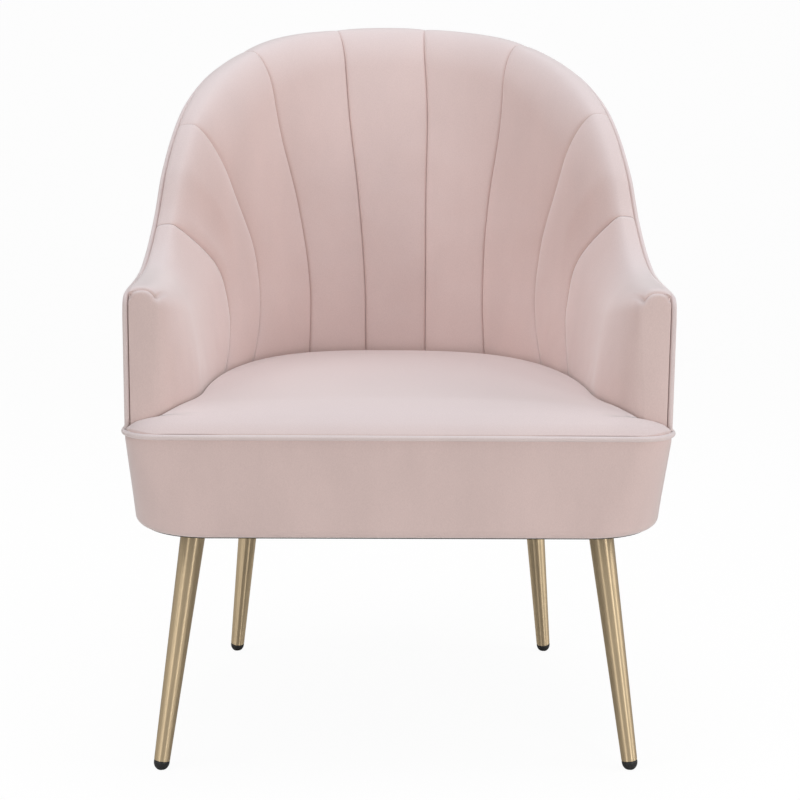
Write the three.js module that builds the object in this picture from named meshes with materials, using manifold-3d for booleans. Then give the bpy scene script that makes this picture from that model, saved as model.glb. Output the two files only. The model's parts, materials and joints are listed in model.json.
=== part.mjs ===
// Channel-back accent chair: a barrel shell on a low upholstered base with four splayed tapered legs.
// Millimetres, +Z up, the sitter faces -Y. The origin is at the floor, under the middle of the chair.

import * as THREE from 'three';
import { mergeVertices } from 'three/addons/utils/BufferGeometryUtils.js';
import Module from 'manifold-3d';

const wasm = await Module();
wasm.setup();

// Driving dimensions
const jointHeight = 423.5;      // floor to the piping between base and shell
const archHeight = 919;         // floor to the top of the back
const armHeight = 595;          // floor to the top of the arms
const shellHalfWidth = 322;
const archDrawIn = 22;          // the shell is this much narrower, each side, at the top of the back
const shellTaperHeight = 560;   // the sides are upright up to here
const shellFront = -14;         // front face of the arms, behind the front feet by the minus sign
const bendStart = 90;           // where the straight sides turn into the barrel
const shellRear = 552;          // outside of the back at the piping
const recline = THREE.MathUtils.degToRad(11);
const seatCrownRise = 33.5;     // from the piping to the highest point of the seat

// Upholstery of the shell, measured inwards from its outside
const coverThickness = 3;
const frameThickness = 20;
const webbingThickness = 1.5;
const rollThickness = 50;       // the wall at its rolled top edge
const backWallThickness = 84;   // the wall at the seat, at the rear
const armWallThickness = 74;    // the wall at the seat, at the arms
const valleyDepth = 10;         // how far each stitched valley lies under its channel's crest
const crestRise = 5;            // how far a crest stands out of the wall's mean thickness
const rollHeight = 30;          // height of the inner curve of the rolled edge
const rollCrest = 22;           // distance of the highest line of the roll from the outside
const rollShoulder = 4;         // drop from the highest line to the piping side
const hookHeight = 20;          // padding over the top rail
const armNoseLength = 110;      // fore and aft length of the soft front corner of each arm
const armFaceFoot = 28;         // flat part of the arm front at the seat
const armFaceTop = 38;          // flat part of the arm front at the top
const armEdgeLength = 12;       // rounding of the arm's top front edge
const armEdgeDrop = 6;
const armFacing = 10;           // padding in front of the arm post

// Piping
const weltRadius = 3.25;
const weltDrop = 9;             // top of the roll to the middle of the shell piping
const weltInset = 2;
const weltBend = 12;            // bend of the piping over the arm's front top corner
const weltCornerDip = 2;        // how far the piping sinks towards that corner
const weltDipLength = 48;

// Base
const baseOutset = 3;           // the base stands proud of the shell
const baseFront = -45;
const bandHeight = 123.5;       // from the piping down to the underside of the base
const baseTaper = 6;            // the band draws in towards the floor
const topCornerRadius = 45;
const footCornerRadius = 100;
const bandEdgeRadius = 12;
const bandFold = 34;            // fabric turned under the base
const dustCoverThickness = 1.1;
const dustCoverInset = 10;
const boardThickness = 18;
const seatRingDrop = 43.5;      // from the piping down to the board that carries the springs
const skirtThickness = 3;
const lowerOpeningMargin = 162; // from the side of the shell to the opening of the lower board
const lowerOpeningFront = 85;
const lowerOpeningRear = 370;
const ringOpeningMargin = 117;  // from the side of the shell to the opening of the ring board
const ringOpeningFront = 12;
const ringOpeningRear = 400;
const openingCornerRadius = 60;
const blockSide = 54;
const spacerLength = 90;
const spacerDepth = 28;
const spacerSetback = 14;

// Seat
const seatEdgeRise = 20;        // from the piping to the shoulder of the seat
const seatEdgeReach = 75;       // distance over which the shoulder rises
const foamDrop = 2.8;           // the cover bridges the foam's rounded edge
const insulatorThickness = 3;
const insulatorInset = 16;
const springCount = 4;
const springWireRadius = 1.9;
const springHalfWidth = 24;
const springPitch = 58;         // one full wave
const springSideGap = 67;       // from the side of the ring's opening to the outer springs
const springArch = 12;
const springBearing = 16;       // how far each end lies on the ring

// Frame of the shell
const sillHeight = 45;
const sillSetback = 5;          // the sill stands clear of the band's rounded front corners
const topRailHeight = 42;
const stileWidth = 40;
const postWidth = 42;
const webbingWidth = 48;

// Legs
const frontFootInset = 33;      // from the side of the shell to the foot
const frontFootY = 0;
const frontLegTopInset = 74;    // and to the leg's axis at the underside of the base
const frontLegTopY = 43;
const rearFootY = 456;
const rearLegTopY = 413;
const legTipRadius = 9.5;
const legTopRadius = 15.3;
const legWall = 1.5;
const legCap = 8;
const glideHeight = 11;
const glidePlug = 14;
const glideDome = 9;            // height of the rounded part of the glide
const glideSink = 1.6;          // how much of the dome is worn flat by the floor plane
const studRadius = 4;
const studInLeg = 12;
const studLength = 62;
const insertRadius = 6;
const insertFlangeRadius = 8;
const insertFlangeThickness = 1.6;
const insertLength = 24;
const legBore = 7;              // clearance bore for the stud through board and dust cover

// Clearances
const seat = 0.35;              // between two pieces that touch
const curvedSeat = 0.6;         // between two pieces that follow the same curve
const closeGap = 0.8;           // between two pieces whose facets cross
const layerGap = 1.2;           // between nested curved layers
const seamGap = 1;              // between neighbouring channels
const railGap = 3;              // between the padding and the top of the rail it hooks over
const cutMargin = 40;           // overrun of every cutting tool
const sample = 0.002;           // step of the slope measurements, as a share of the half plan

// Sizes that follow from those above
const archHalfWidth = shellHalfWidth - archDrawIn;
const baseBottom = jointHeight - bandHeight;
const seatRingTop = jointHeight - seatRingDrop;
const seatCrownHeight = jointHeight + seatCrownRise;
const frontFootX = shellHalfWidth - frontFootInset;
const frontLegTopX = shellHalfWidth - frontLegTopInset;
const lowerOpeningHalfWidth = shellHalfWidth - lowerOpeningMargin;
const ringOpeningHalfWidth = shellHalfWidth - ringOpeningMargin;
const springSpacing = 2 * (ringOpeningHalfWidth - springSideGap) / (springCount - 1);

// Shares and exponents of the curves, chosen by eye
const straightShare = 0.86;     // share of the half plan, from the rear, where the barrel ends
const planPowerShare = 2.35;
const taperPowerShare = 1.25;
const rollPowerShare = 2.3;
const nosePowerShare = 1.7;
const puffPowerShare = 2.4;
const lobeEdgeShare = 0.22;     // share of an arm pad over which it falls to its seam
const seatPowerShare = 2.4;

// Height of the rolled edge between arm and arch: place along the half plan, share of the rise
const rimShares = [
  [0, 1], [0.1, 0.985], [0.2, 0.941], [0.3, 0.852], [0.4, 0.744], [0.5, 0.602], [0.6, 0.389],
  [0.65, 0.231], [0.7, 0.127], [0.75, 0.065], [0.8, 0.031], [0.9, 0.009], [1, 0],
];

// The stitched seams: places along the half plan at these shares of the height
const seamHeightShares = [0, 0.25, 0.5, 0.75, 1];
const seamShares = [
  [0.063, 0.063, 0.067, 0.072, 0.0765],
  [0.220, 0.206, 0.217, 0.234, 0.257],
  [0.429, 0.374, 0.384, 0.430, 0.509],
  [0.600, 0.528, 0.536, 0.588, 0.648],
];
// Rows of the seat along the arms and the back, close together round the arm's soft front corner
const seatPlaceShares = [
  0.992, 0.982, 0.965, 0.94, 0.91, 0.87, 0.8, 0.71, 0.62, 0.53, 0.44, 0.35, 0.27, 0.19, 0.11, 0.04,
];
// The rear legs stand at these shares of the shell's half width
const rearFootShare = 5 / 7;
const rearLegTopShare = 0.618;
const stileShares = [-0.6, -0.3, 0, 0.3, 0.6];
const webbingHeightShares = [0.3, 0.5, 0.68];
const webbingReachShares = [0.62, 0.62, 0.5];

// Materials
const velvet = { color: 0xdcc4c1, roughness: 0.85, metalness: 0 };
const piping = { color: 0xd8bfbc, roughness: 0.85, metalness: 0 };
const foam = { color: 0xf0e6c8, roughness: 0.95, metalness: 0 };
const felt = { color: 0xb8b2a8, roughness: 1, metalness: 0 };
const plywood = { color: 0xc9a878, roughness: 0.8, metalness: 0 };
const elastic = { color: 0x3a3a3c, roughness: 0.9, metalness: 0 };
const brass = { color: 0xb09a72, roughness: 0.35, metalness: 1 };
const steel = { color: 0x9a9ca0, roughness: 0.4, metalness: 1 };
const plastic = { color: 0x141414, roughness: 0.5, metalness: 0 };

const chair = new THREE.Group();

function addMesh(name, geometry, finish, parent = chair) {
  const mesh = new THREE.Mesh(geometry, new THREE.MeshStandardMaterial(finish));
  mesh.name = name;
  parent.add(mesh);
  return mesh;
}

// Small numeric helpers
function mix(a, b, share) {
  return a + (b - a) * share;
}

function range(count, from = 0, to = 1) {
  return Array.from({ length: count + 1 }, (_, i) => mix(from, to, i / count));
}

// Smooth curve through pairs [place, value] with rising places
function smoothTable(table, place) {
  const last = table.length - 1;
  let i = 0;
  while (i < last - 1 && place > table[i + 1][0]) i += 1;
  const slopeAt = (k) => {
    const a = table[Math.max(k - 1, 0)];
    const b = table[Math.min(k + 1, last)];
    return (b[1] - a[1]) / (b[0] - a[0]);
  };
  const span = table[i + 1][0] - table[i][0];
  const t = (place - table[i][0]) / span;
  const start = k => (k === 0 ? 0 : slopeAt(k));
  const rise = (3 - 2 * t) * t * t;
  const leave = t * (1 - t) * (1 - t) * span * start(i);
  const arrive = t * t * (t - 1) * span * slopeAt(i + 1);
  return mix(table[i][1], table[i + 1][1], rise) + leave + arrive;
}

function seamPlace(seam, height) {
  return smoothTable(seamHeightShares.map((share, i) => [share, seamShares[seam][i]]), height);
}

// Geometry from rings of points: each ring is joined to the next, and both ends close on a hub
function orientedSolid(points, faces) {
  let volume = 0;
  for (const [a, b, c] of faces) {
    volume += points[a].dot(new THREE.Vector3().crossVectors(points[b], points[c]));
  }
  const index = faces.flatMap(([a, b, c]) => (volume > 0 ? [a, b, c] : [a, c, b]));
  const geometry = new THREE.BufferGeometry();
  geometry.setAttribute('position', new THREE.Float32BufferAttribute(points.flatMap(p => p.toArray()), 3));
  geometry.setIndex(index);
  geometry.computeVertexNormals();
  return geometry;
}

function bridge(faces, ringSize, from, to) {
  for (let i = 0; i < ringSize; i += 1) {
    const next = (i + 1) % ringSize;
    faces.push([from + i, from + next, to + next], [from + i, to + next, to + i]);
  }
}

// A cap is either a hub point or a list of triangles among the ring's own points
function loft(rings, firstCap, lastCap) {
  const size = rings[0].length;
  const points = rings.flat();
  const faces = [];
  for (let r = 0; r < rings.length - 1; r += 1) {
    bridge(faces, size, r * size, (r + 1) * size);
  }
  const close = (cap, start, turned) => {
    const rim = Array.from({ length: size }, (_, i) => [i, (i + 1) % size]);
    const own = Array.isArray(cap) ? cap : rim.map(([i, next]) => [i, next, points.length - start]);
    if (!Array.isArray(cap)) points.push(cap);
    for (const [i, j, k] of own) {
      faces.push(turned ? [start + j, start + i, start + k] : [start + i, start + j, start + k]);
    }
  };
  close(firstCap, 0, true);
  close(lastCap, (rings.length - 1) * size, false);
  return orientedSolid(points, faces);
}

function closedLoft(rings) {
  const size = rings[0].length;
  const faces = [];
  rings.forEach((_, r) => bridge(faces, size, r * size, ((r + 1) % rings.length) * size));
  return orientedSolid(rings.flat(), faces);
}

function middleOf(points) {
  const sum = points.reduce((total, p) => total.add(p), new THREE.Vector3());
  return sum.divideScalar(points.length);
}

// Joining and cutting
function toSolid(geometry) {
  const bare = geometry.clone();
  bare.deleteAttribute('normal');
  bare.deleteAttribute('uv');
  const merged = mergeVertices(bare);
  return new wasm.Manifold(new wasm.Mesh({
    numProp: 3,
    vertProperties: new Float32Array(merged.attributes.position.array),
    triVerts: new Uint32Array(merged.index.array),
  }));
}

function fromSolid(solid) {
  const mesh = solid.getMesh();
  const geometry = new THREE.BufferGeometry();
  geometry.setAttribute('position', new THREE.BufferAttribute(new Float32Array(mesh.vertProperties), 3));
  geometry.setIndex(new THREE.BufferAttribute(new Uint32Array(mesh.triVerts), 1));
  geometry.computeVertexNormals();
  return geometry;
}

function cut(geometry, tools) {
  let solid = toSolid(geometry);
  for (const tool of tools) {
    solid = solid.subtract(toSolid(tool));
  }
  return fromSolid(solid);
}

// Plan of the shell: a half superellipse at the rear with straight sides running forward.
// The place runs from -1 at the left arm's front through 0 at the rear to 1 at the right arm's front.
function halfWidthAt(z) {
  const above = Math.max(z - shellTaperHeight, 0) / (archHeight - shellTaperHeight);
  return mix(shellHalfWidth, archHalfWidth, Math.pow(above, taperPowerShare));
}

function rearAt(z) {
  return shellRear + (z - jointHeight) * Math.tan(recline);
}

function barrelPoint(angle, z, outset) {
  const halfWidth = halfWidthAt(z);
  const halfDepth = rearAt(z) - bendStart;
  const n = planPowerShare;
  const across = Math.sin(angle) / halfWidth;
  const along = Math.cos(angle) / halfDepth;
  const reach = 1 / Math.pow(Math.pow(along, n) + Math.pow(across, n), 1 / n);
  const x = reach * Math.sin(angle);
  const y = reach * Math.cos(angle);
  const normal = new THREE.Vector2(
    Math.pow(x / halfWidth, n - 1) / halfWidth,
    Math.pow(y / halfDepth, n - 1) / halfDepth,
  ).normalize();
  return new THREE.Vector3(x + normal.x * outset, bendStart + y + normal.y * outset, z);
}

function wallPoint(place, z, depth) {
  const side = Math.sign(place) || 1;
  const share = Math.abs(place);
  if (share <= straightShare) {
    const angle = (Math.PI / 2) * (share / straightShare);
    const point = barrelPoint(angle, z, -depth);
    point.x *= side;
    return point;
  }
  const forward = (share - straightShare) / (1 - straightShare);
  return new THREE.Vector3(side * (halfWidthAt(z) - depth), mix(bendStart, shellFront, forward), z);
}

// The place on the straight side that lies at a given distance behind the arm's front face
function placeBehindFront(distance) {
  return 1 - (1 - straightShare) * distance / (bendStart - shellFront);
}

function rimHeight(place) {
  return mix(armHeight, archHeight, smoothTable(rimShares, Math.min(Math.abs(place), 1)));
}

// How much taller an upright cut through the sloping rim is than a square one
function rimStretch(place) {
  const share = Math.min(Math.max(Math.abs(place), sample), 1 - sample);
  const a = wallPoint(share - sample, jointHeight, 0);
  const b = wallPoint(share + sample, jointHeight, 0);
  const run = Math.hypot(b.x - a.x, b.y - a.y);
  const rise = rimHeight(share + sample) - rimHeight(share - sample);
  return Math.hypot(run, rise) / run;
}

function placePerMillimetre(place) {
  const share = Math.min(Math.max(Math.abs(place), sample), 1 - sample);
  const a = wallPoint(share - sample, jointHeight, 0);
  const b = wallPoint(share + sample, jointHeight, 0);
  return 2 * sample / Math.hypot(b.x - a.x, b.y - a.y);
}

function wallThickness(place, share) {
  const rear = Math.pow(Math.cos(Math.PI / 2 * Math.min(Math.abs(place), 1)), 2);
  return mix(mix(armWallThickness, backWallThickness, rear), rollThickness, share * share);
}

// A frame member or cover lying in the wall: upright rings at each place, between two heights
function wallPatch(places, bottomOf, topOf, outer, inner, levels) {
  const rings = places.map((place) => {
    const outside = range(levels).map(s => wallPoint(place, mix(bottomOf(place), topOf(place), s), outer));
    const inside = range(levels).map(s => wallPoint(place, mix(bottomOf(place), topOf(place), s), inner));
    return [...outside, ...inside.reverse()];
  });
  return loft(rings, middleOf(rings[0]), middleOf(rings[rings.length - 1]));
}

// Depths of the layers in the wall, from the outside in
const frameOuter = coverThickness + layerGap;
const frameInner = frameOuter + frameThickness;
const webbingOuter = frameInner + closeGap;
const webbingInner = webbingOuter + webbingThickness;
const padBack = webbingInner + layerGap;
const padOuterEdge = weltInset + weltRadius + closeGap;
const shellFoot = jointHeight + weltRadius + seat;
const sillTop = seatRingTop + sillHeight;
const topRailTop = place => rimHeight(place) - (hookHeight + railGap) * rimStretch(place);
const topRailFoot = place => topRailTop(place) - topRailHeight * rimStretch(place);

// Places shared by the long pieces of the wall, so that their facets lie parallel
const wallSteps = 28;

function sharedPlaces(reach) {
  const even = range(2 * wallSteps, -1, 1).filter(place => Math.abs(place) < reach - 1 / (2 * wallSteps));
  return [-reach, ...even, reach];
}

// A height as the facets between the shared places have it
function faceted(heightOf) {
  return (place) => {
    const step = Math.floor(place * wallSteps);
    return mix(heightOf(step / wallSteps), heightOf((step + 1) / wallSteps), place * wallSteps - step);
  };
}

// Shell frame
function addShellFrame() {
  const reach = placeBehindFront(armFacing + seat);
  const railPlaces = sharedPlaces(reach);
  const sillOuter = frameOuter + sillSetback;
  const sillInner = sillOuter + frameThickness;
  const sill = wallPatch(railPlaces, () => seatRingTop + seat, () => sillTop, sillOuter, sillInner, 1);
  addMesh('shell_sill_rail', sill, plywood);
  const topRail = wallPatch(railPlaces, topRailFoot, topRailTop, frameOuter, frameInner, 1);
  addMesh('shell_top_rail', topRail, plywood);
  const foot = () => sillTop + seat;
  stileShares.forEach((place, i) => {
    const half = stileWidth / 2 * placePerMillimetre(place);
    const places = range(4, place - half, place + half);
    const top = at => faceted(topRailFoot)(at) - curvedSeat * rimStretch(at);
    addMesh(`back_stile_${i + 1}`, wallPatch(places, foot, top, frameOuter, frameInner, 4), plywood);
  });
  for (const [side, name] of [[-1, 'left'], [1, 'right']]) {
    const places = [reach, placeBehindFront(armFacing + seat + postWidth)].map(p => p * side);
    const top = at => topRailFoot(at) - seat;
    addMesh(`arm_post_${name}`, wallPatch(places, foot, top, frameOuter, frameInner, 1), plywood);
  }
}

function addWebbing() {
  webbingHeightShares.forEach((share, i) => {
    const reach = webbingReachShares[i];
    const middle = mix(jointHeight, rimHeight(reach), share);
    const foot = () => middle - webbingWidth / 2;
    const top = () => middle + webbingWidth / 2;
    const places = range(36, -reach, reach);
    addMesh(`back_webbing_${i + 1}`, wallPatch(places, foot, top, webbingOuter, webbingInner, 1), elastic);
  });
}

// The outside cover ends at the piping, also where the piping bends down the arm's front
function addOutsideCover() {
  const gap = weltRadius + curvedSeat;
  const bendMiddle = weltRadius + weltBend;
  const bend = weltBend - gap;
  const top = (place) => {
    const behind = (1 - Math.abs(place)) / (1 - straightShare) * (bendStart - shellFront);
    const short = Math.max(bendMiddle - behind, 0) / bend;
    const drop = bend * (1 - Math.sqrt(Math.max(1 - short * short, 0)));
    return rimHeight(place) - (weltDrop + gap) * rimStretch(place) - drop - weltCornerDrop(place);
  };
  const corner = range(3).map(s => placeBehindFront(bendMiddle - bend * Math.cos(Math.PI / 2 * (1 - s))));
  const even = sharedPlaces(corner[0]).slice(1, -1);
  const places = [...corner.map(p => -p).reverse(), ...even, ...corner];
  addMesh('outside_cover', wallPatch(places, () => shellFoot, top, 0, coverThickness, 4), velvet);
}

// Channels and arm pads
// The front corner of each arm is soft: its inner face curves away from the seat towards the front
function noseShare(y) {
  const ahead = Math.max(shellFront + armNoseLength - y, 0) / armNoseLength;
  const n = nosePowerShare;
  return Math.pow(Math.max(1 - Math.pow(Math.min(ahead, 1), n), 0), 1 / n);
}

function padThickness(place, share) {
  const full = wallThickness(place, share);
  const y = wallPoint(place, jointHeight, 0).y;
  return mix(mix(armFaceFoot, armFaceTop, share), full, noseShare(y));
}

// The top edge of the arm's front is rounded over its last few millimetres
function frontDrop(place) {
  const y = wallPoint(place, jointHeight, 0).y;
  const ahead = Math.max(shellFront + armEdgeLength - y, 0) / armEdgeLength;
  return armEdgeDrop * ahead * ahead;
}

const padSteps = 6;

// Square to a seam's run: how far sideways and upwards one millimetre aside of it leads.
// Where the seam reaches the roll it also turns square to the rim.
function squareToSeam(placeAt, topOf, s) {
  const from = Math.max(s - sample, 0);
  const to = Math.min(s + sample, 1);
  const run = (placeAt(to) - placeAt(from)) / placePerMillimetre(placeAt(s));
  const rise = mix(shellFoot, topOf(placeAt(to)), to) - mix(shellFoot, topOf(placeAt(from)), from);
  const length = Math.hypot(run, rise);
  return [s < 1 ? rise / length : 1, -run / length];
}

// One upright ring of a pad: inner face, rolled edge, piping side, hook over the rail, back face.
// placeAt gives the place at a share of the height, sag how far the skin is drawn in there, and
// shift how far the ring stands aside of its seam.
function padRing(placeAt, shift, sag, faced) {
  const aside = (place, z, depth) => wallPoint(place + shift * placePerMillimetre(place), z, depth);
  const rim = placeAt(1);
  const rimTop = place => rimHeight(place) - frontDrop(place);
  const rollFoot = place => rimTop(place) - rollHeight * rimStretch(place);
  const hookFoot = place => rimTop(place) - hookHeight * rimStretch(place);
  const top = rimTop(rim);
  const onFace = (s, topOf, depth) => {
    const place = placeAt(s);
    const [across, up] = squareToSeam(placeAt, topOf, s);
    const lift = s > 0 ? shift * up : 0;
    const at = place + shift * across * placePerMillimetre(place);
    return wallPoint(at, mix(shellFoot, topOf(place), s) + lift, depth);
  };
  const face = range(padSteps).map(s => onFace(s, rollFoot, padThickness(placeAt(s), s) + crestRise - sag));
  const innerEdge = padThickness(rim, 1) + crestRise - sag;
  const n = 2 / rollPowerShare;
  const roll = range(5).slice(1).map((s) => {
    const angle = Math.PI / 2 * s;
    const z = mix(rollFoot(rim), top, Math.pow(Math.sin(angle), n)) - sag * s / 4;
    return aside(rim, z, mix(rollCrest, innerEdge, Math.pow(Math.cos(angle), n)));
  });
  const crown = aside(rim, top - sag / 4 - rollShoulder / 4, mix(rollCrest, padOuterEdge, 1 / 2));
  const shoulder = aside(rim, top - rollShoulder, padOuterEdge);
  if (faced) {
    const along = range(padSteps + 1).map(s => aside(rim, shellFoot, mix(padOuterEdge, padBack, s)));
    return [...face, ...roll, crown, shoulder, ...along];
  }
  const lip = aside(rim, hookFoot(rim), padOuterEdge);
  const back = range(padSteps, 1, 0).map(s => onFace(s, hookFoot, padBack));
  return [...face, ...roll, crown, shoulder, lip, ...back];
}

// The end of a pad: strips across the wall up to the roll, then a fan from the lip of the hook
function padCap(ring) {
  const last = ring.length - 1;
  const lip = last - padSteps - 1;
  const cap = [];
  for (let i = 0; i < padSteps; i += 1) {
    cap.push([i, i + 1, last - i], [i + 1, last - i - 1, last - i]);
  }
  for (let i = padSteps; i < lip - 1; i += 1) {
    cap.push([i, i + 1, lip]);
  }
  cap.push([padSteps, lip, lip + 1]);
  return cap;
}

function channelSag(across) {
  const n = puffPowerShare;
  return valleyDepth * (1 - Math.pow(Math.max(1 - Math.pow(Math.abs(across), n), 0), 1 / n));
}

function channelPad(leftSeam, rightSeam, steps) {
  const rings = range(steps, -1, 1).map((spread) => {
    const across = Math.sin(spread * Math.PI / 2);
    const placeAt = share => mix(leftSeam(share), rightSeam(share), (across + 1) / 2);
    const shift = -across * seamGap / 2;
    return padRing(placeAt, shift, channelSag(across), false);
  });
  return loft(rings, padCap(rings[0]), padCap(rings[0]));
}

function addBackChannels() {
  const seams = [
    ...[3, 2, 1, 0].map(i => share => -seamPlace(i, share)),
    ...[0, 1, 2, 3].map(i => share => seamPlace(i, share)),
  ];
  for (let i = 0; i < seams.length - 1; i += 1) {
    addMesh(`back_channel_${i + 1}`, channelPad(seams[i], seams[i + 1], 6), velvet);
  }
}

// An arm pad runs from the last seam to the arm's front, where it closes over the post
function armPad(side) {
  const front = placeBehindFront(0);
  const facing = placeBehindFront(armFacing);
  const hair = placeBehindFront(armFacing - seat);
  const hooked = range(14).map((s) => {
    const placeAt = share => side * mix(seamPlace(3, share), facing, s);
    const near = Math.max(1 - s / lobeEdgeShare, 0);
    const shift = side * near * seamGap / 2;
    return padRing(placeAt, shift, channelSag(near), false);
  });
  const closed = [hair, mix(hair, front, 1 / 2), front].map(place => padRing(() => side * place, 0, 0, true));
  const rings = [...hooked, ...closed];
  return loft(rings, padCap(rings[0]), middleOf(rings[rings.length - 1]));
}

// Piping
// A curve through stations that keeps them where they are, so that bends stay crisp
class StationCurve extends THREE.Curve {
  constructor(points) {
    super();
    this.points = points;
  }

  getPoint(t, target = new THREE.Vector3()) {
    const last = this.points.length - 1;
    const i = Math.min(Math.floor(t * last), last - 1);
    return target.copy(this.points[i]).lerp(this.points[i + 1], t * last - i);
  }

  getPointAt(t, target) {
    return this.getPoint(t, target);
  }

  getTangentAt(t, target = new THREE.Vector3()) {
    const last = this.points.length - 1;
    const i = Math.round(t * last);
    const ahead = this.points[Math.min(i + 1, last)];
    const behind = this.points[Math.max(i - 1, 0)];
    return target.copy(ahead).sub(behind).normalize();
  }
}

function roundSection(radius, sides) {
  const shape = new THREE.Shape();
  shape.setFromPoints(range(sides, 0, 2 * Math.PI).slice(1).map(a => new THREE.Vector2(
    radius * Math.cos(a),
    radius * Math.sin(a),
  )));
  return shape;
}

function tube(points, radius, sides) {
  return new THREE.ExtrudeGeometry(roundSection(radius, sides), {
    steps: points.length - 1,
    extrudePath: new StationCurve(points),
    bevelEnabled: false,
  });
}

// The piping dips a little where it leaves the arm's top front corner
function weltCornerDrop(place) {
  const behind = (1 - Math.abs(place)) / (1 - straightShare) * (bendStart - shellFront);
  const share = Math.min(Math.max(behind - weltRadius - weltBend, 0) / weltDipLength, 1);
  return weltCornerDip * (1 - share) * (1 - share);
}

// Up the front edge of one arm, round the whole rim and down the other arm
function addShellWelt() {
  const edge = placeBehindFront(weltRadius);
  const height = place => rimHeight(place) - weltCornerDrop(place) - weltDrop * rimStretch(place);
  const run = place => wallPoint(place, height(place), weltInset);
  const rise = [];
  const bendTop = run(edge).z - weltBend;
  range(3, shellFoot + seat, bendTop).forEach(z => rise.push(wallPoint(edge, z, weltInset)));
  range(4, 0, Math.PI / 2).slice(1).forEach((angle) => {
    const place = placeBehindFront(weltRadius + weltBend * (1 - Math.cos(angle)));
    rise.push(wallPoint(place, bendTop + weltBend * Math.sin(angle), weltInset));
  });
  const bendEnd = placeBehindFront(weltRadius + 2 * weltBend);
  const overRim = sharedPlaces(bendEnd).map(run);
  const mirrored = rise.map(p => new THREE.Vector3(-p.x, p.y, p.z));
  addMesh('shell_welt', tube([...mirrored, ...overRim, ...rise.reverse()], weltRadius, 8), piping);
}

// Plan of the base: the shell's plan pushed out a little, with rounded front corners.
// The turn runs from 0 at the rear centre through 1 at the front centre and back to 2.
function baseDrawIn(z) {
  return baseTaper * (jointHeight - z) / (jointHeight - baseBottom);
}

function baseCornerRadius(z) {
  return mix(footCornerRadius, topCornerRadius, (z - baseBottom) / (jointHeight - baseBottom));
}

function basePoint(turn, z, inset) {
  const half = turn <= 1 ? turn : 2 - turn;
  const side = turn <= 1 ? 1 : -1;
  const drawn = baseDrawIn(z) + inset - baseOutset;
  const radius = Math.max(baseCornerRadius(z) - baseDrawIn(z) - inset, seat);
  const flank = shellHalfWidth - drawn;
  const front = baseFront + baseDrawIn(z) + inset;
  const [barrelEnd, sideEnd, cornerEnd] = baseTurnShares;
  let point;
  if (half <= barrelEnd) {
    point = barrelPoint(Math.PI / 2 * (half / barrelEnd), jointHeight, -drawn);
  } else if (half <= sideEnd) {
    const s = (half - barrelEnd) / (sideEnd - barrelEnd);
    point = new THREE.Vector3(flank, mix(bendStart, front + radius, s), 0);
  } else if (half <= cornerEnd) {
    const angle = Math.PI / 2 * (half - sideEnd) / (cornerEnd - sideEnd);
    const x = flank - radius + radius * Math.cos(angle);
    point = new THREE.Vector3(x, front + radius - radius * Math.sin(angle), 0);
  } else {
    const s = (half - cornerEnd) / (1 - cornerEnd);
    point = new THREE.Vector3(mix(flank - radius, 0, s), front, 0);
  }
  return new THREE.Vector3(side * point.x, point.y, z);
}

// Shares of the half turn where the barrel, the straight side and the front corner end
const baseTurnShares = [0.5, 0.58, 0.82];
const halfTurns = [
  ...range(13, 0, baseTurnShares[0]),
  ...range(2, baseTurnShares[0], baseTurnShares[1]).slice(1),
  ...range(7, baseTurnShares[1], baseTurnShares[2]).slice(1),
  ...range(2, baseTurnShares[2], 1).slice(1),
];
const baseTurns = [...halfTurns, ...halfTurns.slice(1, -1).reverse().map(t => 2 - t)];

// A closed ring round the base, from a section given as pairs of inset and height
function baseRing(section) {
  return closedLoft(baseTurns.map(turn => section.map(([inset, z]) => basePoint(turn, z, inset))));
}

function addBaseWelt() {
  const section = range(8, 0, 2 * Math.PI).slice(1).map(a => [
    weltRadius * Math.cos(a),
    jointHeight + weltRadius * Math.sin(a),
  ]);
  addMesh('base_welt', baseRing(section), piping);
}

// The band hangs from the piping, turns under the base and ends on its underside
function addBaseBand() {
  const top = jointHeight - weltRadius - seat;
  const inner = bandEdgeRadius - coverThickness;
  const bend = (radius, angles) => angles.map(a => [
    bandEdgeRadius - radius * Math.cos(a),
    baseBottom + bandEdgeRadius - radius * Math.sin(a),
  ]);
  const angles = range(3, 0, Math.PI / 2);
  const section = [
    [0, top],
    ...bend(bandEdgeRadius, angles),
    [bandFold, baseBottom],
    [bandFold, baseBottom + coverThickness],
    ...bend(inner, angles.slice().reverse()),
    [coverThickness, top],
  ];
  addMesh('base_band', baseRing(section), velvet);
}

// Boards
const lowerBoardFoot = baseBottom + coverThickness + seat;
const lowerBoardTop = lowerBoardFoot + boardThickness;
const seatRingFoot = seatRingTop - boardThickness;
const dustCoverTop = baseBottom - seat;
const dustCoverFoot = dustCoverTop - dustCoverThickness;
const legTop = dustCoverFoot - seat;

function baseOutline(z, inset) {
  return new THREE.Shape(baseTurns.map((turn) => {
    const p = basePoint(turn, z, inset);
    return new THREE.Vector2(p.x, p.y);
  }));
}

function roundedOpening(halfWidth, front, rear, radius) {
  const path = new THREE.Path();
  path.absarc(halfWidth - radius, rear - radius, radius, 0, Math.PI / 2);
  path.absarc(radius - halfWidth, rear - radius, radius, Math.PI / 2, Math.PI);
  path.absarc(radius - halfWidth, front + radius, radius, Math.PI, 1.5 * Math.PI);
  path.absarc(halfWidth - radius, front + radius, radius, 1.5 * Math.PI, 2 * Math.PI);
  return path;
}

function board(outline, opening, foot, thickness) {
  if (opening) outline.holes.push(opening);
  const settings = { depth: thickness, bevelEnabled: false, curveSegments: 5 };
  return new THREE.ExtrudeGeometry(outline, settings).translate(0, 0, foot);
}

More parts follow.
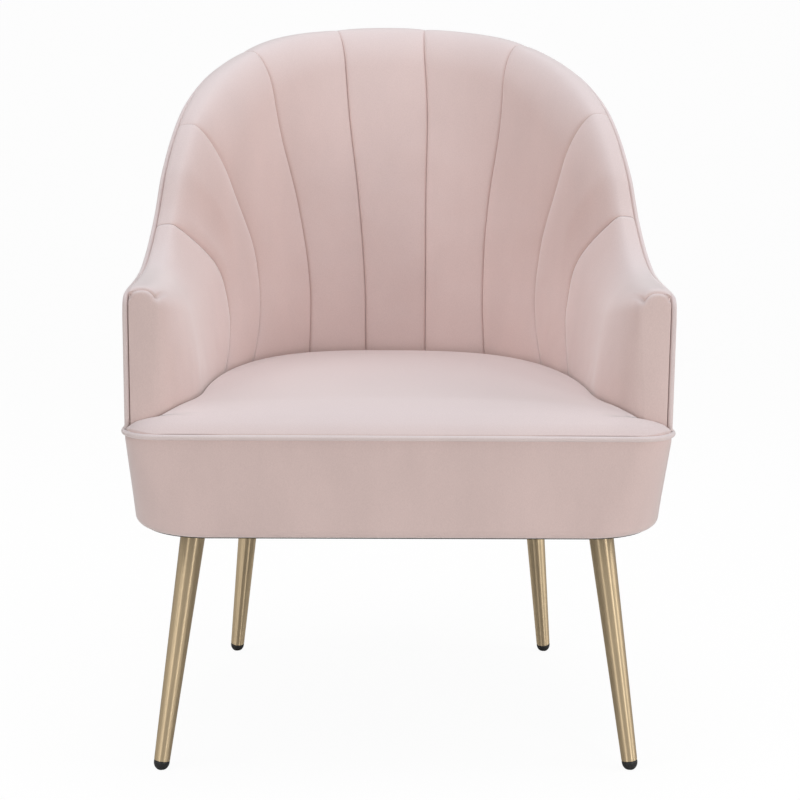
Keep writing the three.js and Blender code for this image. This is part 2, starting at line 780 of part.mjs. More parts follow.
// Legs: each one stands in a tilted group whose own Z axis is the leg's axis
const rearFootX = shellHalfWidth * rearFootShare;
const rearLegTopX = shellHalfWidth * rearLegTopShare;
const legs = [
  { name: 'front_left', foot: [-frontFootX, frontFootY], top: [-frontLegTopX, frontLegTopY] },
  { name: 'front_right', foot: [frontFootX, frontFootY], top: [frontLegTopX, frontLegTopY] },
  { name: 'rear_left', foot: [-rearFootX, rearFootY], top: [-rearLegTopX, rearLegTopY] },
  { name: 'rear_right', foot: [rearFootX, rearFootY], top: [rearLegTopX, rearLegTopY] },
];

for (const leg of legs) {
  const [footX, footY] = leg.foot;
  const [topX, topY] = leg.top;
  const axis = new THREE.Vector3(topX - footX, topY - footY, baseBottom);
  leg.length = axis.length() * legTop / baseBottom;
  leg.group = new THREE.Group();
  leg.group.name = `leg_${leg.name}`;
  leg.group.position.set(footX, footY, 0);
  leg.group.quaternion.setFromUnitVectors(new THREE.Vector3(0, 0, 1), axis.clone().normalize());
  leg.group.updateMatrix();
  leg.at = z => new THREE.Vector3(footX, footY, 0).addScaledVector(axis, z / baseBottom);
  chair.add(leg.group);
}

function revolve(profile, sides) {
  const points = profile.map(([r, z]) => new THREE.Vector2(r, z));
  return new THREE.LatheGeometry(points, sides).rotateX(Math.PI / 2);
}

// A rod or stepped tool along the leg's axis, in the chair's frame
function alongLeg(leg, profile) {
  return revolve(profile, 10).applyMatrix4(leg.group.matrix);
}

// Cuts away what lies above or below a level plane, from a piece in the leg's own frame
function levelCut(leg, geometry, z, above) {
  const size = 2 * legTopRadius + 2 * cutMargin;
  const slab = new THREE.BoxGeometry(size, size, cutMargin);
  const middle = leg.at(z);
  slab.translate(middle.x, middle.y, z + (above ? cutMargin / 2 : -cutMargin / 2));
  slab.applyMatrix4(leg.group.matrix.clone().invert());
  return cut(geometry, [slab]);
}

function legRadius(leg, along) {
  return mix(legTipRadius, legTopRadius, along / leg.length);
}

// A tapered tube with a thick welded cap, mitred level under the seat
function addLegTube(leg) {
  const end = leg.length + cutMargin / 4;
  const capFoot = leg.length - legCap;
  const bore = studRadius + seat;
  const profile = [
    [legRadius(leg, glideHeight), glideHeight],
    [legRadius(leg, end), end],
    [bore, end],
    [bore, capFoot],
    [legRadius(leg, capFoot) - legWall, capFoot],
    [legRadius(leg, glideHeight) - legWall, glideHeight],
    [legRadius(leg, glideHeight), glideHeight],
  ];
  addMesh(`leg_${leg.name}_tube`, levelCut(leg, revolve(profile, 18), legTop, true), brass, leg.group);
}

function addLegGlide(leg) {
  const rim = legRadius(leg, glideHeight);
  const plug = rim - legWall - seat;
  const dome = range(4, 0, Math.PI / 2).map(a => [
    rim * Math.sin(a),
    glideDome - (glideDome + glideSink) * Math.cos(a),
  ]);
  dome[0][0] = 0;
  const profile = [
    ...dome,
    [rim, glideHeight - seat],
    [plug, glideHeight - seat],
    [plug, glideHeight + glidePlug],
    [0, glideHeight + glidePlug],
  ];
  addMesh(`leg_${leg.name}_glide`, levelCut(leg, revolve(profile, 12), 0, false), plastic, leg.group);
}

function addLegStud(leg) {
  const foot = leg.length - studInLeg;
  const profile = [[0, foot], [studRadius, foot], [studRadius, foot + studLength], [0, foot + studLength]];
  addMesh(`leg_${leg.name}_stud`, revolve(profile, 12), steel, leg.group);
}

// Along the leg's axis: where the insert starts in the corner block
function insertFoot(leg) {
  return leg.length / legTop * (lowerBoardTop + seat) + 2 * insertFlangeThickness;
}

function addLegInsert(leg) {
  const foot = insertFoot(leg);
  const bore = studRadius + seat;
  const profile = [
    [bore, foot],
    [insertFlangeRadius, foot],
    [insertFlangeRadius, foot + insertFlangeThickness],
    [insertRadius, foot + insertFlangeThickness],
    [insertRadius, foot + insertLength],
    [bore, foot + insertLength],
    [bore, foot],
  ];
  addMesh(`leg_${leg.name}_insert`, revolve(profile, 10), steel, leg.group);
}

function insertSocket(leg) {
  const step = insertFoot(leg) + insertFlangeThickness + seat;
  const start = insertFoot(leg) - cutMargin / 4;
  const end = Math.max(insertFoot(leg) + insertLength + seat, leg.length - studInLeg + studLength + seat);
  return alongLeg(leg, [
    [0, start],
    [insertFlangeRadius + seat, start],
    [insertFlangeRadius + seat, step],
    [insertRadius + seat, step],
    [insertRadius + seat, end],
    [0, end],
  ]);
}

function addCornerBlock(leg) {
  const height = seatRingFoot - lowerBoardTop - 2 * seat;
  const middle = leg.at(lowerBoardTop + height / 2);
  const block = new THREE.BoxGeometry(blockSide, blockSide, height);
  block.translate(middle.x, middle.y, lowerBoardTop + seat + height / 2);
  addMesh(`corner_block_${leg.name}`, cut(block, [insertSocket(leg)]), plywood);
}

// Base frame
function addBaseFrame() {
  const studBores = legs.map(leg => alongLeg(leg, [
    [0, leg.length - cutMargin / 4],
    [legBore, leg.length - cutMargin / 4],
    [legBore, leg.length + cutMargin],
    [0, leg.length + cutMargin],
  ]));
  const backing = coverThickness + seat;
  const opening = [lowerOpeningHalfWidth, lowerOpeningFront, lowerOpeningRear, openingCornerRadius];
  const lowerOutline = baseOutline(baseBottom, bandEdgeRadius);
  const lower = board(lowerOutline, roundedOpening(...opening), lowerBoardFoot, boardThickness);
  addMesh('base_lower_board', cut(lower, studBores), plywood);
  const ringOpening = [ringOpeningHalfWidth, ringOpeningFront, ringOpeningRear, openingCornerRadius];
  const ringOutline = baseOutline(seatRingFoot, backing);
  const ring = board(ringOutline, roundedOpening(...ringOpening), seatRingFoot, boardThickness);
  addMesh('seat_ring_board', ring, plywood);
  const skirtFoot = lowerBoardTop + seat;
  const skirtTop = seatRingFoot - seat;
  addMesh('base_skirt_board', baseRing([
    [backing, skirtFoot],
    [backing, skirtTop],
    [backing + skirtThickness, skirtTop],
    [backing + skirtThickness, skirtFoot],
  ]), plywood);
  const dust = board(baseOutline(baseBottom, dustCoverInset), null, dustCoverFoot, dustCoverThickness);
  addMesh('dust_cover', cut(dust, studBores), elastic);
  legs.forEach(addCornerBlock);
  const spacerHeight = skirtTop - skirtFoot;
  for (const [name, y] of [
    ['front', baseFront + baseTaper + backing + skirtThickness + spacerSetback + spacerDepth / 2],
    ['rear', shellRear - baseTaper - backing - skirtThickness - spacerSetback - spacerDepth / 2],
  ]) {
    const spacer = new THREE.BoxGeometry(spacerLength, spacerDepth, spacerHeight);
    spacer.translate(0, y, skirtFoot + spacerHeight / 2);
    addMesh(`base_spacer_${name}`, spacer, plywood);
  }
}

// Seat
// Height of the arch of the springs above their ends
function springLift(y) {
  const share = (y - ringOpeningFront) / (ringOpeningRear - ringOpeningFront);
  return springArch * Math.sin(Math.PI * Math.min(Math.max(share, 0), 1));
}

function addSprings() {
  const start = ringOpeningFront - springBearing;
  const end = ringOpeningRear + springBearing;
  const waves = Math.round((end - start) / springPitch);
  const rest = seatRingTop + seat + springWireRadius;
  for (let i = 0; i < springCount; i += 1) {
    const middle = (i - (springCount - 1) / 2) * springSpacing;
    const points = range(waves * 6).map((s) => {
      const swing = Math.sin(2 * Math.PI * waves * s);
      const x = middle + springHalfWidth * Math.sign(swing) * Math.sqrt(Math.abs(swing));
      const y = mix(start, end, s);
      return new THREE.Vector3(x, y, rest + springLift(y));
    });
    addMesh(`seat_spring_${i + 1}`, tube(points, springWireRadius, 4), steel);
  }
}

// Rows across the seat from front to rear, as pairs of half width and place fore and aft
function seatRows(inset, z) {
  const drawn = inset + baseDrawIn(z);
  const front = baseFront + drawn;
  const wingEnd = shellFront - seat - inset;
  const corner = baseCornerRadius(z) - drawn;
  const lead = wingEnd - armEdgeLength / 4;
  const rows = (lead > front ? range(4) : []).map((s) => {
    const y = mix(front, lead, s * s);
    const across = Math.sqrt(Math.max(corner * corner - Math.pow(corner - (y - front), 2), 0));
    return [shellHalfWidth + baseOutset - baseCornerRadius(z) + across, y];
  });
  const innerPoint = (place) => {
    const behind = place - (layerGap + inset) * placePerMillimetre(place);
    return wallPoint(place, jointHeight, padThickness(behind, 0) + crestRise + layerGap + inset);
  };
  const first = innerPoint(1);
  rows.push([first.x, Math.max(wingEnd, front)]);
  for (const place of seatPlaceShares) {
    const p = innerPoint(place);
    rows.push([p.x, p.y]);
  }
  return rows;
}

// The seat's upper surface: a rounded shoulder behind the piping and a broad crown
function seatTop(x, y) {
  const shoulder = shellHalfWidth + baseOutset - topCornerRadius;
  const cornerX = Math.max(Math.abs(x) - shoulder, 0);
  const cornerY = Math.max(baseFront + topCornerRadius - y, 0);
  const inside = topCornerRadius - Math.hypot(cornerX, cornerY);
  const straight = Math.min(y - baseFront, shellHalfWidth + baseOutset - Math.abs(x));
  const edge = cornerX > 0 && cornerY > 0 ? inside : straight;
  const share = 1 - Math.min(Math.max(edge, 0) / seatEdgeReach, 1);
  const rise = seatEdgeRise * (1 - Math.pow(share, seatPowerShare));
  const foot = shellFoot + coverThickness;
  const middle = mix(baseFront, shellRear - backWallThickness, 1 / 2);
  const along = (y - middle) / (middle - baseFront);
  const across = x / (shellHalfWidth - armWallThickness);
  const dome = Math.max(1 - along * along, 0) * Math.max(1 - across * across, 0);
  return foot + rise + (seatCrownHeight - foot - seatEdgeRise) * dome;
}

function seatBody(inset, z, columns, upper, lower) {
  const shares = range(columns, -1, 1).map(s => Math.sin(s * Math.PI / 2));
  const rings = seatRows(inset, z).map(([halfWidth, y]) => {
    const top = shares.map(s => new THREE.Vector3(s * halfWidth, y, upper(s * halfWidth, y)));
    const foot = shares.map(s => new THREE.Vector3(s * halfWidth, y, lower(s * halfWidth, y)));
    return [...top, ...foot.reverse()];
  });
  return loft(rings, middleOf(rings[0]), middleOf(rings[rings.length - 1]));
}

function addSeat() {
  const springTop = y => seatRingTop + 2 * springWireRadius + 2 * seat + springLift(y);
  const insulatorTop = y => springTop(y) + insulatorThickness;
  const foamInset = coverThickness + seat;
  const insulatorFoot = (x, y) => springTop(y);
  const insulator = seatBody(insulatorInset, seatRingTop, 3, (x, y) => insulatorTop(y), insulatorFoot);
  addMesh('seat_insulator', insulator, felt);
  const foamTop = (x, y) => seatTop(x, y) - coverThickness - foamDrop;
  const foamFoot = (x, y) => insulatorTop(y) + seat;
  addMesh('seat_foam', seatBody(foamInset, seatRingTop, 10, foamTop, foamFoot), foam);
  const coverFoot = (x, y) => seatTop(x, y) - coverThickness;
  addMesh('seat_cover', seatBody(0, jointHeight, 14, seatTop, coverFoot), velvet);
}

addBaseFrame();
addBaseBand();
addBaseWelt();
addSprings();
addSeat();
addShellFrame();
addWebbing();
addOutsideCover();
addBackChannels();
addMesh('arm_pad_left', armPad(-1), velvet);
addMesh('arm_pad_right', armPad(1), velvet);
addShellWelt();
for (const leg of legs) {
  addLegTube(leg);
  addLegGlide(leg);
  addLegStud(leg);
  addLegInsert(leg);
}

// Centre the chair over the origin, front to back
chair.updateMatrixWorld(true);
const bounds = new THREE.Box3().setFromObject(chair, true);
chair.position.y = -(bounds.min.y + bounds.max.y) / 2;

export default chair;
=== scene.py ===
"""Channel-back accent chair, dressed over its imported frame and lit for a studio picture."""

import json
from functools import lru_cache
from itertools import accumulate, pairwise
from math import atan2, cos, exp, hypot, pi, radians, sin, sqrt, tan, tau

import bmesh
import bpy
from mathutils import Matrix, Vector, noise


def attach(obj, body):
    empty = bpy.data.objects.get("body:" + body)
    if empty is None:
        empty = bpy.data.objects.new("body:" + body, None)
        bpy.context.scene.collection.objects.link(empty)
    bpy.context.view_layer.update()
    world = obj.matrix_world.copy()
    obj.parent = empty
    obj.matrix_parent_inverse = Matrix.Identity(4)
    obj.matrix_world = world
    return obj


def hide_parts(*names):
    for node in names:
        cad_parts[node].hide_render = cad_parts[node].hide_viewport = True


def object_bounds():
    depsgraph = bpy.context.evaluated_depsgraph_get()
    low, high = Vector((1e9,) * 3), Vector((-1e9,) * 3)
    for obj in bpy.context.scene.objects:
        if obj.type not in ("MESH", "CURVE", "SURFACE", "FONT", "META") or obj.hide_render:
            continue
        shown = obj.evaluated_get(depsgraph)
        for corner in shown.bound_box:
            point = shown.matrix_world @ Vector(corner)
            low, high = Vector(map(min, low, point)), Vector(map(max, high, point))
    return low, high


bl_info = {
    "name": "Channel-back accent chair",
    "version": (1, 0, 0),
    "blender": (4, 5, 0),
    "location": "3D View > Sidebar > Chair",
    "description": "Builds the upholstery, piping, legs and studio of a channel-back accent chair",
    "category": "Object",
}

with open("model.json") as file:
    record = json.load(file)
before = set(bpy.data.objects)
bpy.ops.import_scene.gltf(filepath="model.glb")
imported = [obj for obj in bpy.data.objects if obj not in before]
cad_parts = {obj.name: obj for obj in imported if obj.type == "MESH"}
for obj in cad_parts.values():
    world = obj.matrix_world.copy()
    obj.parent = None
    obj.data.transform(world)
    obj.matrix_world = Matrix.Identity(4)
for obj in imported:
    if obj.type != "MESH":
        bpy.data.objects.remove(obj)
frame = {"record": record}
FRAME_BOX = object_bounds()
LEG_NAMES = ("front_left", "front_right", "rear_left", "rear_right")
CHANNEL_COUNT = 7
GAP = 0.00035
LEG_MAP = "round_and_along"
SLOTS = {part["node"]: part["material_slot"] for part in frame["record"]["subparts"]}


# Plan and heights of the shell. Lengths are metres, y is measured from the front feet.

JOINT_HEIGHT = 0.4235
ARCH_HEIGHT = FRAME_BOX[1][2]
ARM_HEIGHT = 0.595
SHELL_HALF_WIDTH = 0.322
ARCH_HALF_WIDTH = 0.300
TAPER_FROM = 0.560
TAPER_POWER = 1.25
SHELL_FRONT = -0.014
BEND_START = 0.090
SHELL_REAR = 0.552
RECLINE = tan(radians(11))
PLAN_SHIFT = -0.299667
STRAIGHT_FROM = 0.86
PLAN_POWER = 2.35

RIM = (
    (0, 1), (0.1, 0.985), (0.2, 0.941), (0.3, 0.852), (0.4, 0.744), (0.5, 0.602), (0.6, 0.389),
    (0.65, 0.231), (0.7, 0.127), (0.75, 0.065), (0.8, 0.031), (0.9, 0.009), (1, 0),
)
SEAM_HEIGHTS = (0, 0.25, 0.5, 0.75, 1)
SEAMS = (
    (-0.573, -0.509, -0.489, -0.522, -0.670),
    (-0.415, -0.362, -0.365, -0.432, -0.518),
    (-0.208, -0.198, -0.218, -0.257, -0.272),
    (-0.057, -0.058, -0.070, -0.087, -0.093),
    (0.070, 0.068, 0.065, 0.064, 0.050),
    (0.232, 0.215, 0.218, 0.234, 0.226),
    (0.443, 0.387, 0.387, 0.435, 0.487),
    (0.590, 0.540, 0.518, 0.538, 0.652),
)
BASE_TURNS = (0.5, 0.58, 0.82)
SEAT_PLACES = (0.992, 0.982, 0.965, 0.94, 0.91, 0.87, 0.8, 0.71, 0.62, 0.53, 0.44, 0.35, 0.27, 0.19, 0.11, 0.04)

SHELL_FOOT = 0.4271
PAD_BACK = 0.0277
PAD_OUTER_EDGE = 0.00605
ROLL_THICKNESS = 0.050
ROLL_HEIGHT = 0.030
BROAD_ROLL = 0.056
ROLL_POWER = 2.1
SHOULDER_POWER = 2.4
RIM_SAG = 0.24
ROLL_CREST = 0.022
ROLL_SHOULDER = 0.004
HOOK_HEIGHT = 0.020
BACK_WALL = 0.084
ARM_WALL = 0.074
CREST_RISE = 0.005
NOSE_LENGTH = 0.110
NOSE_POWER = 1.7
FACE_FOOT = 0.028
FACE_TOP = 0.038
ARM_EDGE_LENGTH = 0.012
ARM_EDGE_DROP = 0.003
ARM_FACING = 0.010
LOBE_EDGE = 0.22
ARM_SEAM = 0.49
SEAM_PINCH = 0.002
BROAD_ROLL_FROM = 0.985
BROAD_ROLL_REACH = 0.2
PANEL_CROWN = 0.0016
DART_DEPTH = 0.0034
DART_WIDTH = 0.0023
DART_FADE = 0.035
DART_DIP = 0.006
DART_DIP_LENGTH = 0.014
WELT_RADIUS = 0.00325
WELT_DROP = 0.009
WELT_INSET = 0.002
WELT_BEND = 0.012
WELT_CORNER_DIP = 0.002
WELT_DIP_LENGTH = 0.048
BASE_FRONT = -0.045
BASE_OUTSET = 0.003
BASE_HALF_WIDTH = SHELL_HALF_WIDTH + BASE_OUTSET
BASE_BOTTOM = 0.300
BASE_TAPER = 0.006
TOP_CORNER = 0.045
FOOT_CORNER = 0.100
BAND_EDGE = 0.012
BAND_FOLD = 0.034
COVER_THICKNESS = 0.003
SEAT_RING_TOP = 0.380
SEAT_CROWN = 0.457
SEAT_EDGE_RISE = 0.020
SEAT_EDGE_REACH = 0.075
SEAT_ROLL = 0.0225
SEAT_ROLL_POWER = 2.4
SEAT_TUCK = 0.0046
SEAT_TUCK_REACH = 0.014
SEAT_CLEARANCE = 0.0012
SPRING_WIRE = 0.0038
SPRING_RISE = 0.012
SPRING_FRONT = 0.012
SPRING_LENGTH = 0.388
INSULATOR = 0.003
INSULATOR_INSET = 0.016
WEBBING_WIDTH = 0.048
WEBBING_DEPTHS = (0.025, 0.0265)
WEBBINGS = ((0.3, 0.62), (0.5, 0.62), (0.68, 0.5))  # share of the wall's height, reach along the wall
DUST_COVER_INSET = 0.0101
DUST_COVER_THICKNESS = 0.0011
LEG_ENDS = {"front": ((0.289, 0.0), (0.248, 0.043)), "rear": ((0.230, 0.456), (0.199, 0.413))}  # foot, top
TUBE_WALL = 0.0015
TUBE_SIDES = 56
SWELL_FRAMES = 20
SWELL_HELD = 0.012
SWELL_FADE = 0.05
SWELL_FREE = 0.96
CAMERA_PLACE = (-0.0434, -2.2347, 0.802)
CAMERA_TURNS = (1.3, 10, 0.5)  # yaw, pitch and roll in degrees

# Colours and plain finishes

# Paler colour mixed into faces that turn up: painted light from above.
PAINTED_TOP_LIGHT = (0.89, 0.82, 0.85)
# Paler colour for the piping, which is cut from the same velvet: a painted highlight on the raised cord.
PIPING_PAINTED_LIGHT = (0.84, 0.76, 0.75)
EVEN = (1, 1, 1)
GRAINS = {  # colour, stretch of the grain, scale, darkest and palest share, roughness, relief, metal
    "plywood": ((0.55, 0.36, 0.18), (1, 14, 14), 9, 0.75, 1.2, 0.7, 0.0003),
    "zinc_steel": ((0.55, 0.56, 0.58), EVEN, 240, 0.8, 1.1, 0.35, 0.00005, 1),
    "elastic_webbing": ((0.04, 0.04, 0.045), (1, 1, 9), 420, 0.6, 1.7, 0.85, 0.0004),
    "needled_felt": ((0.44, 0.41, 0.36), EVEN, 500, 0.7, 1.25, 0.95, 0.0005),
    "dust_cloth": ((0.012, 0.012, 0.012), EVEN, 1300, 0.5, 2.2, 0.92, 0.0002),
}
PLASTIC_GRAIN = (EVEN, 900, 0.8, 1.5, 0.42, 0.00004)


def mix(a, b, share):
    return a + (b - a) * share


def clamp(value, low=0.0, high=1.0):
    return min(max(value, low), high)


def at(x, y, z):
    """A point whose y is measured from the front feet."""
    return Vector((x, y + PLAN_SHIFT, z))


def steps(count, start=0.0, end=1.0):
    return [mix(start, end, i / count) for i in range(count + 1)]


def ease(t):
    return t * t * (3 - 2 * t)


def quarter(count):
    """Angles from 0 to a right angle."""
    return steps(count, 0, pi / 2)


def smooth_table(table, place, level_start=True):
    """Smooth curve through pairs of rising places and their values."""
    last = len(table) - 1
    i = 0
    while i < last - 1 and place > table[i + 1][0]:
        i += 1

    def slope(k):
        a, b = table[max(k - 1, 0)], table[min(k + 1, last)]
        return (b[1] - a[1]) / (b[0] - a[0])

    span = table[i + 1][0] - table[i][0]
    t = (place - table[i][0]) / span
    leave = 0 if i == 0 and level_start else slope(i)
    rise = (3 - 2 * t) * t * t
    value = mix(table[i][1], table[i + 1][1], rise)
    return value + span * (t * (1 - t) ** 2 * leave + t * t * (t - 1) * slope(i + 1))


def seam_place(seam, height):
    """Where a stitched seam lies in the wall, left to right, at a share of its height."""
    own, twin = (
        smooth_table(tuple(zip(SEAM_HEIGHTS, SEAMS[k])), height, level_start=False)
        for k in (seam, len(SEAMS) - 1 - seam)
    )
    return mix((own - twin) / 2, own, bpy.context.scene.chair_cover.lean)


def half_width_at(z):
    above = max(z - TAPER_FROM, 0) / (ARCH_HEIGHT - TAPER_FROM)
    return mix(SHELL_HALF_WIDTH, ARCH_HALF_WIDTH, above ** TAPER_POWER)


def rear_at(z):
    return SHELL_REAR + (z - JOINT_HEIGHT) * RECLINE


def barrel_point(angle, z, outset):
    """A point of the barrel's plan at a height, pushed out along the plan's normal."""
    half_width, half_depth = half_width_at(z), rear_at(z) - BEND_START
    n = PLAN_POWER
    sine, cosine = abs(sin(angle)), max(cos(angle), 0)
    reach = ((cosine / half_depth) ** n + (sine / half_width) ** n) ** (-1 / n)
    x, y = reach * sine, reach * cosine
    nx = (x / half_width) ** (n - 1) / half_width
    ny = (y / half_depth) ** (n - 1) / half_depth
    length = hypot(nx, ny)
    return x + nx / length * outset, BEND_START + y + ny / length * outset


def wall_point(place, z, depth):
    """A point in the shell's wall: place along the plan (0 rear, 1 arm front), height and depth."""
    side = -1 if place < 0 else 1
    share = abs(place)
    if share <= STRAIGHT_FROM:
        x, y = barrel_point(pi / 2 * share / STRAIGHT_FROM, z, -depth)
    else:
        forward = (share - STRAIGHT_FROM) / (1 - STRAIGHT_FROM)
        x, y = half_width_at(z) - depth, mix(BEND_START, SHELL_FRONT, forward)
    return at(side * x, y, z)


def behind_front(distance):
    """The place on the straight side at a distance behind the arm's front face."""
    return 1 - (1 - STRAIGHT_FROM) * distance / (BEND_START - SHELL_FRONT)


def behind_of(place):
    """How far a place on the straight side lies behind the arm's front face."""
    return (1 - abs(place)) / (1 - STRAIGHT_FROM) * (BEND_START - SHELL_FRONT)


def rim_height(place):
    return mix(ARM_HEIGHT, ARCH_HEIGHT, smooth_table(RIM, min(abs(place), 1)))


@lru_cache(maxsize=None)
def run_at(share):
    """Length of wall for one unit of place, and the slope of the rim, at a share of the half plan."""
    step = 0.002
    share = clamp(share, step, 1 - step)
    before, after = share - step, share + step
    run = (wall_point(after, JOINT_HEIGHT, 0) - wall_point(before, JOINT_HEIGHT, 0)).length
    return run / (2 * step), (rim_height(after) - rim_height(before)) / run


def per_metre(place):
    return 1 / run_at(round(abs(place), 5))[0]


def rim_slope(place):
    return run_at(round(abs(place), 5))[1]


def stretch(place):
    return hypot(1, rim_slope(place))


def wall_thickness(place, share):
    rear = cos(pi / 2 * min(abs(place), 1)) ** 2
    return mix(mix(ARM_WALL, BACK_WALL, rear), ROLL_THICKNESS, share * share)


def plan_y(place):
    return wall_point(place, JOINT_HEIGHT, 0).y - PLAN_SHIFT


def nose_share(y):
    ahead = clamp((SHELL_FRONT + NOSE_LENGTH - y) / NOSE_LENGTH)
    return (1 - ahead ** NOSE_POWER) ** (1 / NOSE_POWER)


def pad_thickness(place, share):
    return mix(mix(FACE_FOOT, FACE_TOP, share), wall_thickness(place, share), nose_share(plan_y(place)))


def front_drop(place):
    ahead = max(SHELL_FRONT + ARM_EDGE_LENGTH - plan_y(place), 0) / ARM_EDGE_LENGTH
    return ARM_EDGE_DROP * ahead * ahead


def welt_corner_drop(place):
    share = clamp((behind_of(place) - WELT_RADIUS - WELT_BEND) / WELT_DIP_LENGTH)
    return WELT_CORNER_DIP * (1 - share) ** 2


# Plan of the base and the seat


def draw_in(z):
    return BASE_TAPER * (JOINT_HEIGHT - z) / (JOINT_HEIGHT - BASE_BOTTOM)


def corner_radius(z):
    return mix(FOOT_CORNER, TOP_CORNER, (z - BASE_BOTTOM) / (JOINT_HEIGHT - BASE_BOTTOM))


def base_point(turn, z, inset):
    """A point of the base's outline: turn 0 rear, 1 front, 2 rear again."""
    half, side = (turn, 1) if turn <= 1 else (2 - turn, -1)
    drawn = draw_in(z) + inset - BASE_OUTSET
    radius = max(corner_radius(z) - draw_in(z) - inset, GAP)
    flank = SHELL_HALF_WIDTH - drawn
    front = BASE_FRONT + draw_in(z) + inset
    barrel_end, side_end, corner_end = BASE_TURNS
    if half <= barrel_end:
        x, y = barrel_point(pi / 2 * half / barrel_end, JOINT_HEIGHT, -drawn)
    elif half <= side_end:
        x, y = flank, mix(BEND_START, front + radius, (half - barrel_end) / (side_end - barrel_end))
    elif half <= corner_end:
        angle = pi / 2 * (half - side_end) / (corner_end - side_end)
        x, y = flank - radius + radius * cos(angle), front + radius - radius * sin(angle)
    else:
        x, y = mix(flank - radius, 0, (half - corner_end) / (1 - corner_end)), front
    return at(side * x, y, z)


def base_turns(fine):
    ends = (0, *BASE_TURNS, 1)
    counts = (34 * fine, 5 * fine, 14 * fine, 16 * fine)
    half = [0.0]
    for start, end, count in zip(ends, ends[1:], counts):
        half += steps(count, start, end)[1:]
    return half + [2 - t for t in reversed(half[1:-1])]


def seat_rows(inset, z, fine):
    """Rows of the seat from front to rear, as pairs of half width and y."""
    drawn = inset + draw_in(z)
    front = BASE_FRONT + drawn
    wing_end = SHELL_FRONT - GAP - inset
    corner = corner_radius(z) - drawn
    rows = []
    for s in steps(4 * fine):
        y = mix(front, wing_end - ARM_EDGE_LENGTH / 8, s * s)
        across = sqrt(max(corner * corner - (corner - (y - front)) ** 2, 0))
        rows.append((BASE_HALF_WIDTH - corner_radius(z) + across, y))

    def inner(place):
        at = place - (SEAT_CLEARANCE + inset) * per_metre(place)
        p = wall_point(place, JOINT_HEIGHT, pad_thickness(at, 0) + CREST_RISE + SEAT_CLEARANCE + inset)
        return p.x, p.y - PLAN_SHIFT

    rows.append((inner(1)[0], wing_end))
    for a, b in pairwise(SEAT_PLACES):
        rows += [inner(mix(a, b, k / fine)) for k in range(fine)]
    return rows + [inner(SEAT_PLACES[-1])]


def seat_dome(x, y):
    """Share of the seat's crown at a place: 1 in the middle, 0 at the front, the arms and the back."""
    middle = mix(BASE_FRONT, SHELL_REAR - BACK_WALL, 0.5)
    along = (y - middle) / (middle - BASE_FRONT)
    across = x / (SHELL_HALF_WIDTH - ARM_WALL)
    return max(1 - along * along, 0) * max(1 - across * across, 0)


def seat_height(x, y):
    """Height of the seat: a crown, rolled down to the front and sides and tucked in at the piping."""
    from_front = y - BASE_FRONT
    from_side = BASE_HALF_WIDTH - abs(x)

    def shoulder(distance):
        return 1 - (1 - clamp(distance / SEAT_EDGE_REACH)) ** SEAT_ROLL_POWER

    inside = TOP_CORNER - hypot(max(TOP_CORNER - from_front, 0), max(TOP_CORNER - from_side, 0))
    from_edge = inside if inside < TOP_CORNER - 1e-9 else min(from_front, from_side)
    tuck = SEAT_TUCK * (1 - clamp(from_edge / SEAT_TUCK_REACH)) ** 2
    rise = SEAT_ROLL * shoulder(from_front) * shoulder(from_side) - tuck
    foot = SHELL_FOOT + COVER_THICKNESS
    return foot + rise + (SEAT_CROWN - foot - SEAT_EDGE_RISE) * seat_dome(x, y)


def spring_lift(y):
    return SPRING_RISE * sin(pi * clamp((y - SPRING_FRONT) / SPRING_LENGTH))


# Mesh making


def add_object(name, data):
    made = bpy.data.objects.new(name, data)
    bpy.context.scene.collection.objects.link(made)
    return made


def add_piece(name, skin, material, sharp, *covers):
    """Makes a smooth-shaded piece from points and faces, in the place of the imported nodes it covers."""
    mesh = bpy.data.meshes.new(name)
    mesh.from_pydata(skin[0], [], skin[1])
    shaper = bmesh.new()
    shaper.from_mesh(mesh)
    bmesh.ops.remove_doubles(shaper, verts=shaper.verts, dist=1e-6)
    bmesh.ops.recalc_face_normals(shaper, faces=shaper.faces)
    for face in shaper.faces:
        face.smooth = True
    if sharp is not None:
        for edge in shaper.edges:
            if len(edge.link_faces) == 2 and edge.calc_face_angle() > radians(sharp):
                edge.smooth = False
    shaper.to_mesh(mesh)
    shaper.free()
    mesh.materials.append(material)
    piece = add_object(name, mesh)
    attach(piece, "root")
    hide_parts(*covers)
    return piece


def quads(rows):
    """Faces between rows of point numbers."""
    return [(a[k], a[k + 1], b[k + 1], b[k]) for a, b in pairwise(rows) for k in range(len(a) - 1)]


def join_rings(rings, closed=False, ends=True):
    """Points and faces of a skin through rings of equal length, each ring closed on itself."""
    size = len(rings[0])
    points = [p for ring in rings for p in ring]
    rows = [[*range(start, start + size), start] for start in range(0, len(points), size)]
    faces = quads(rows + rows[:1] if closed else rows)
    if ends and not closed:
        faces += [tuple(rows[0][-2::-1]), tuple(rows[-1][:-1])]
    return points, faces


def ladder(start, size):
    """Closes a ring across: its first half runs up, its second half comes back down."""
    return [(start + i, start + i + 1, start + size - 2 - i, start + size - 1 - i) for i in range(size // 2 - 1)]


def skin_with_ladders(rings):
    """Points and faces of a skin whose first and last rings are closed across."""
    points, faces = join_rings(rings, ends=False)
    size = len(rings[0])
    return points, faces + ladder(0, size) + ladder((len(rings) - 1) * size, size)


def circle(sides):
    """Cosine and sine of every corner's angle round a circle."""
    return [(cos(2 * pi * k / sides), sin(2 * pi * k / sides)) for k in range(sides)]


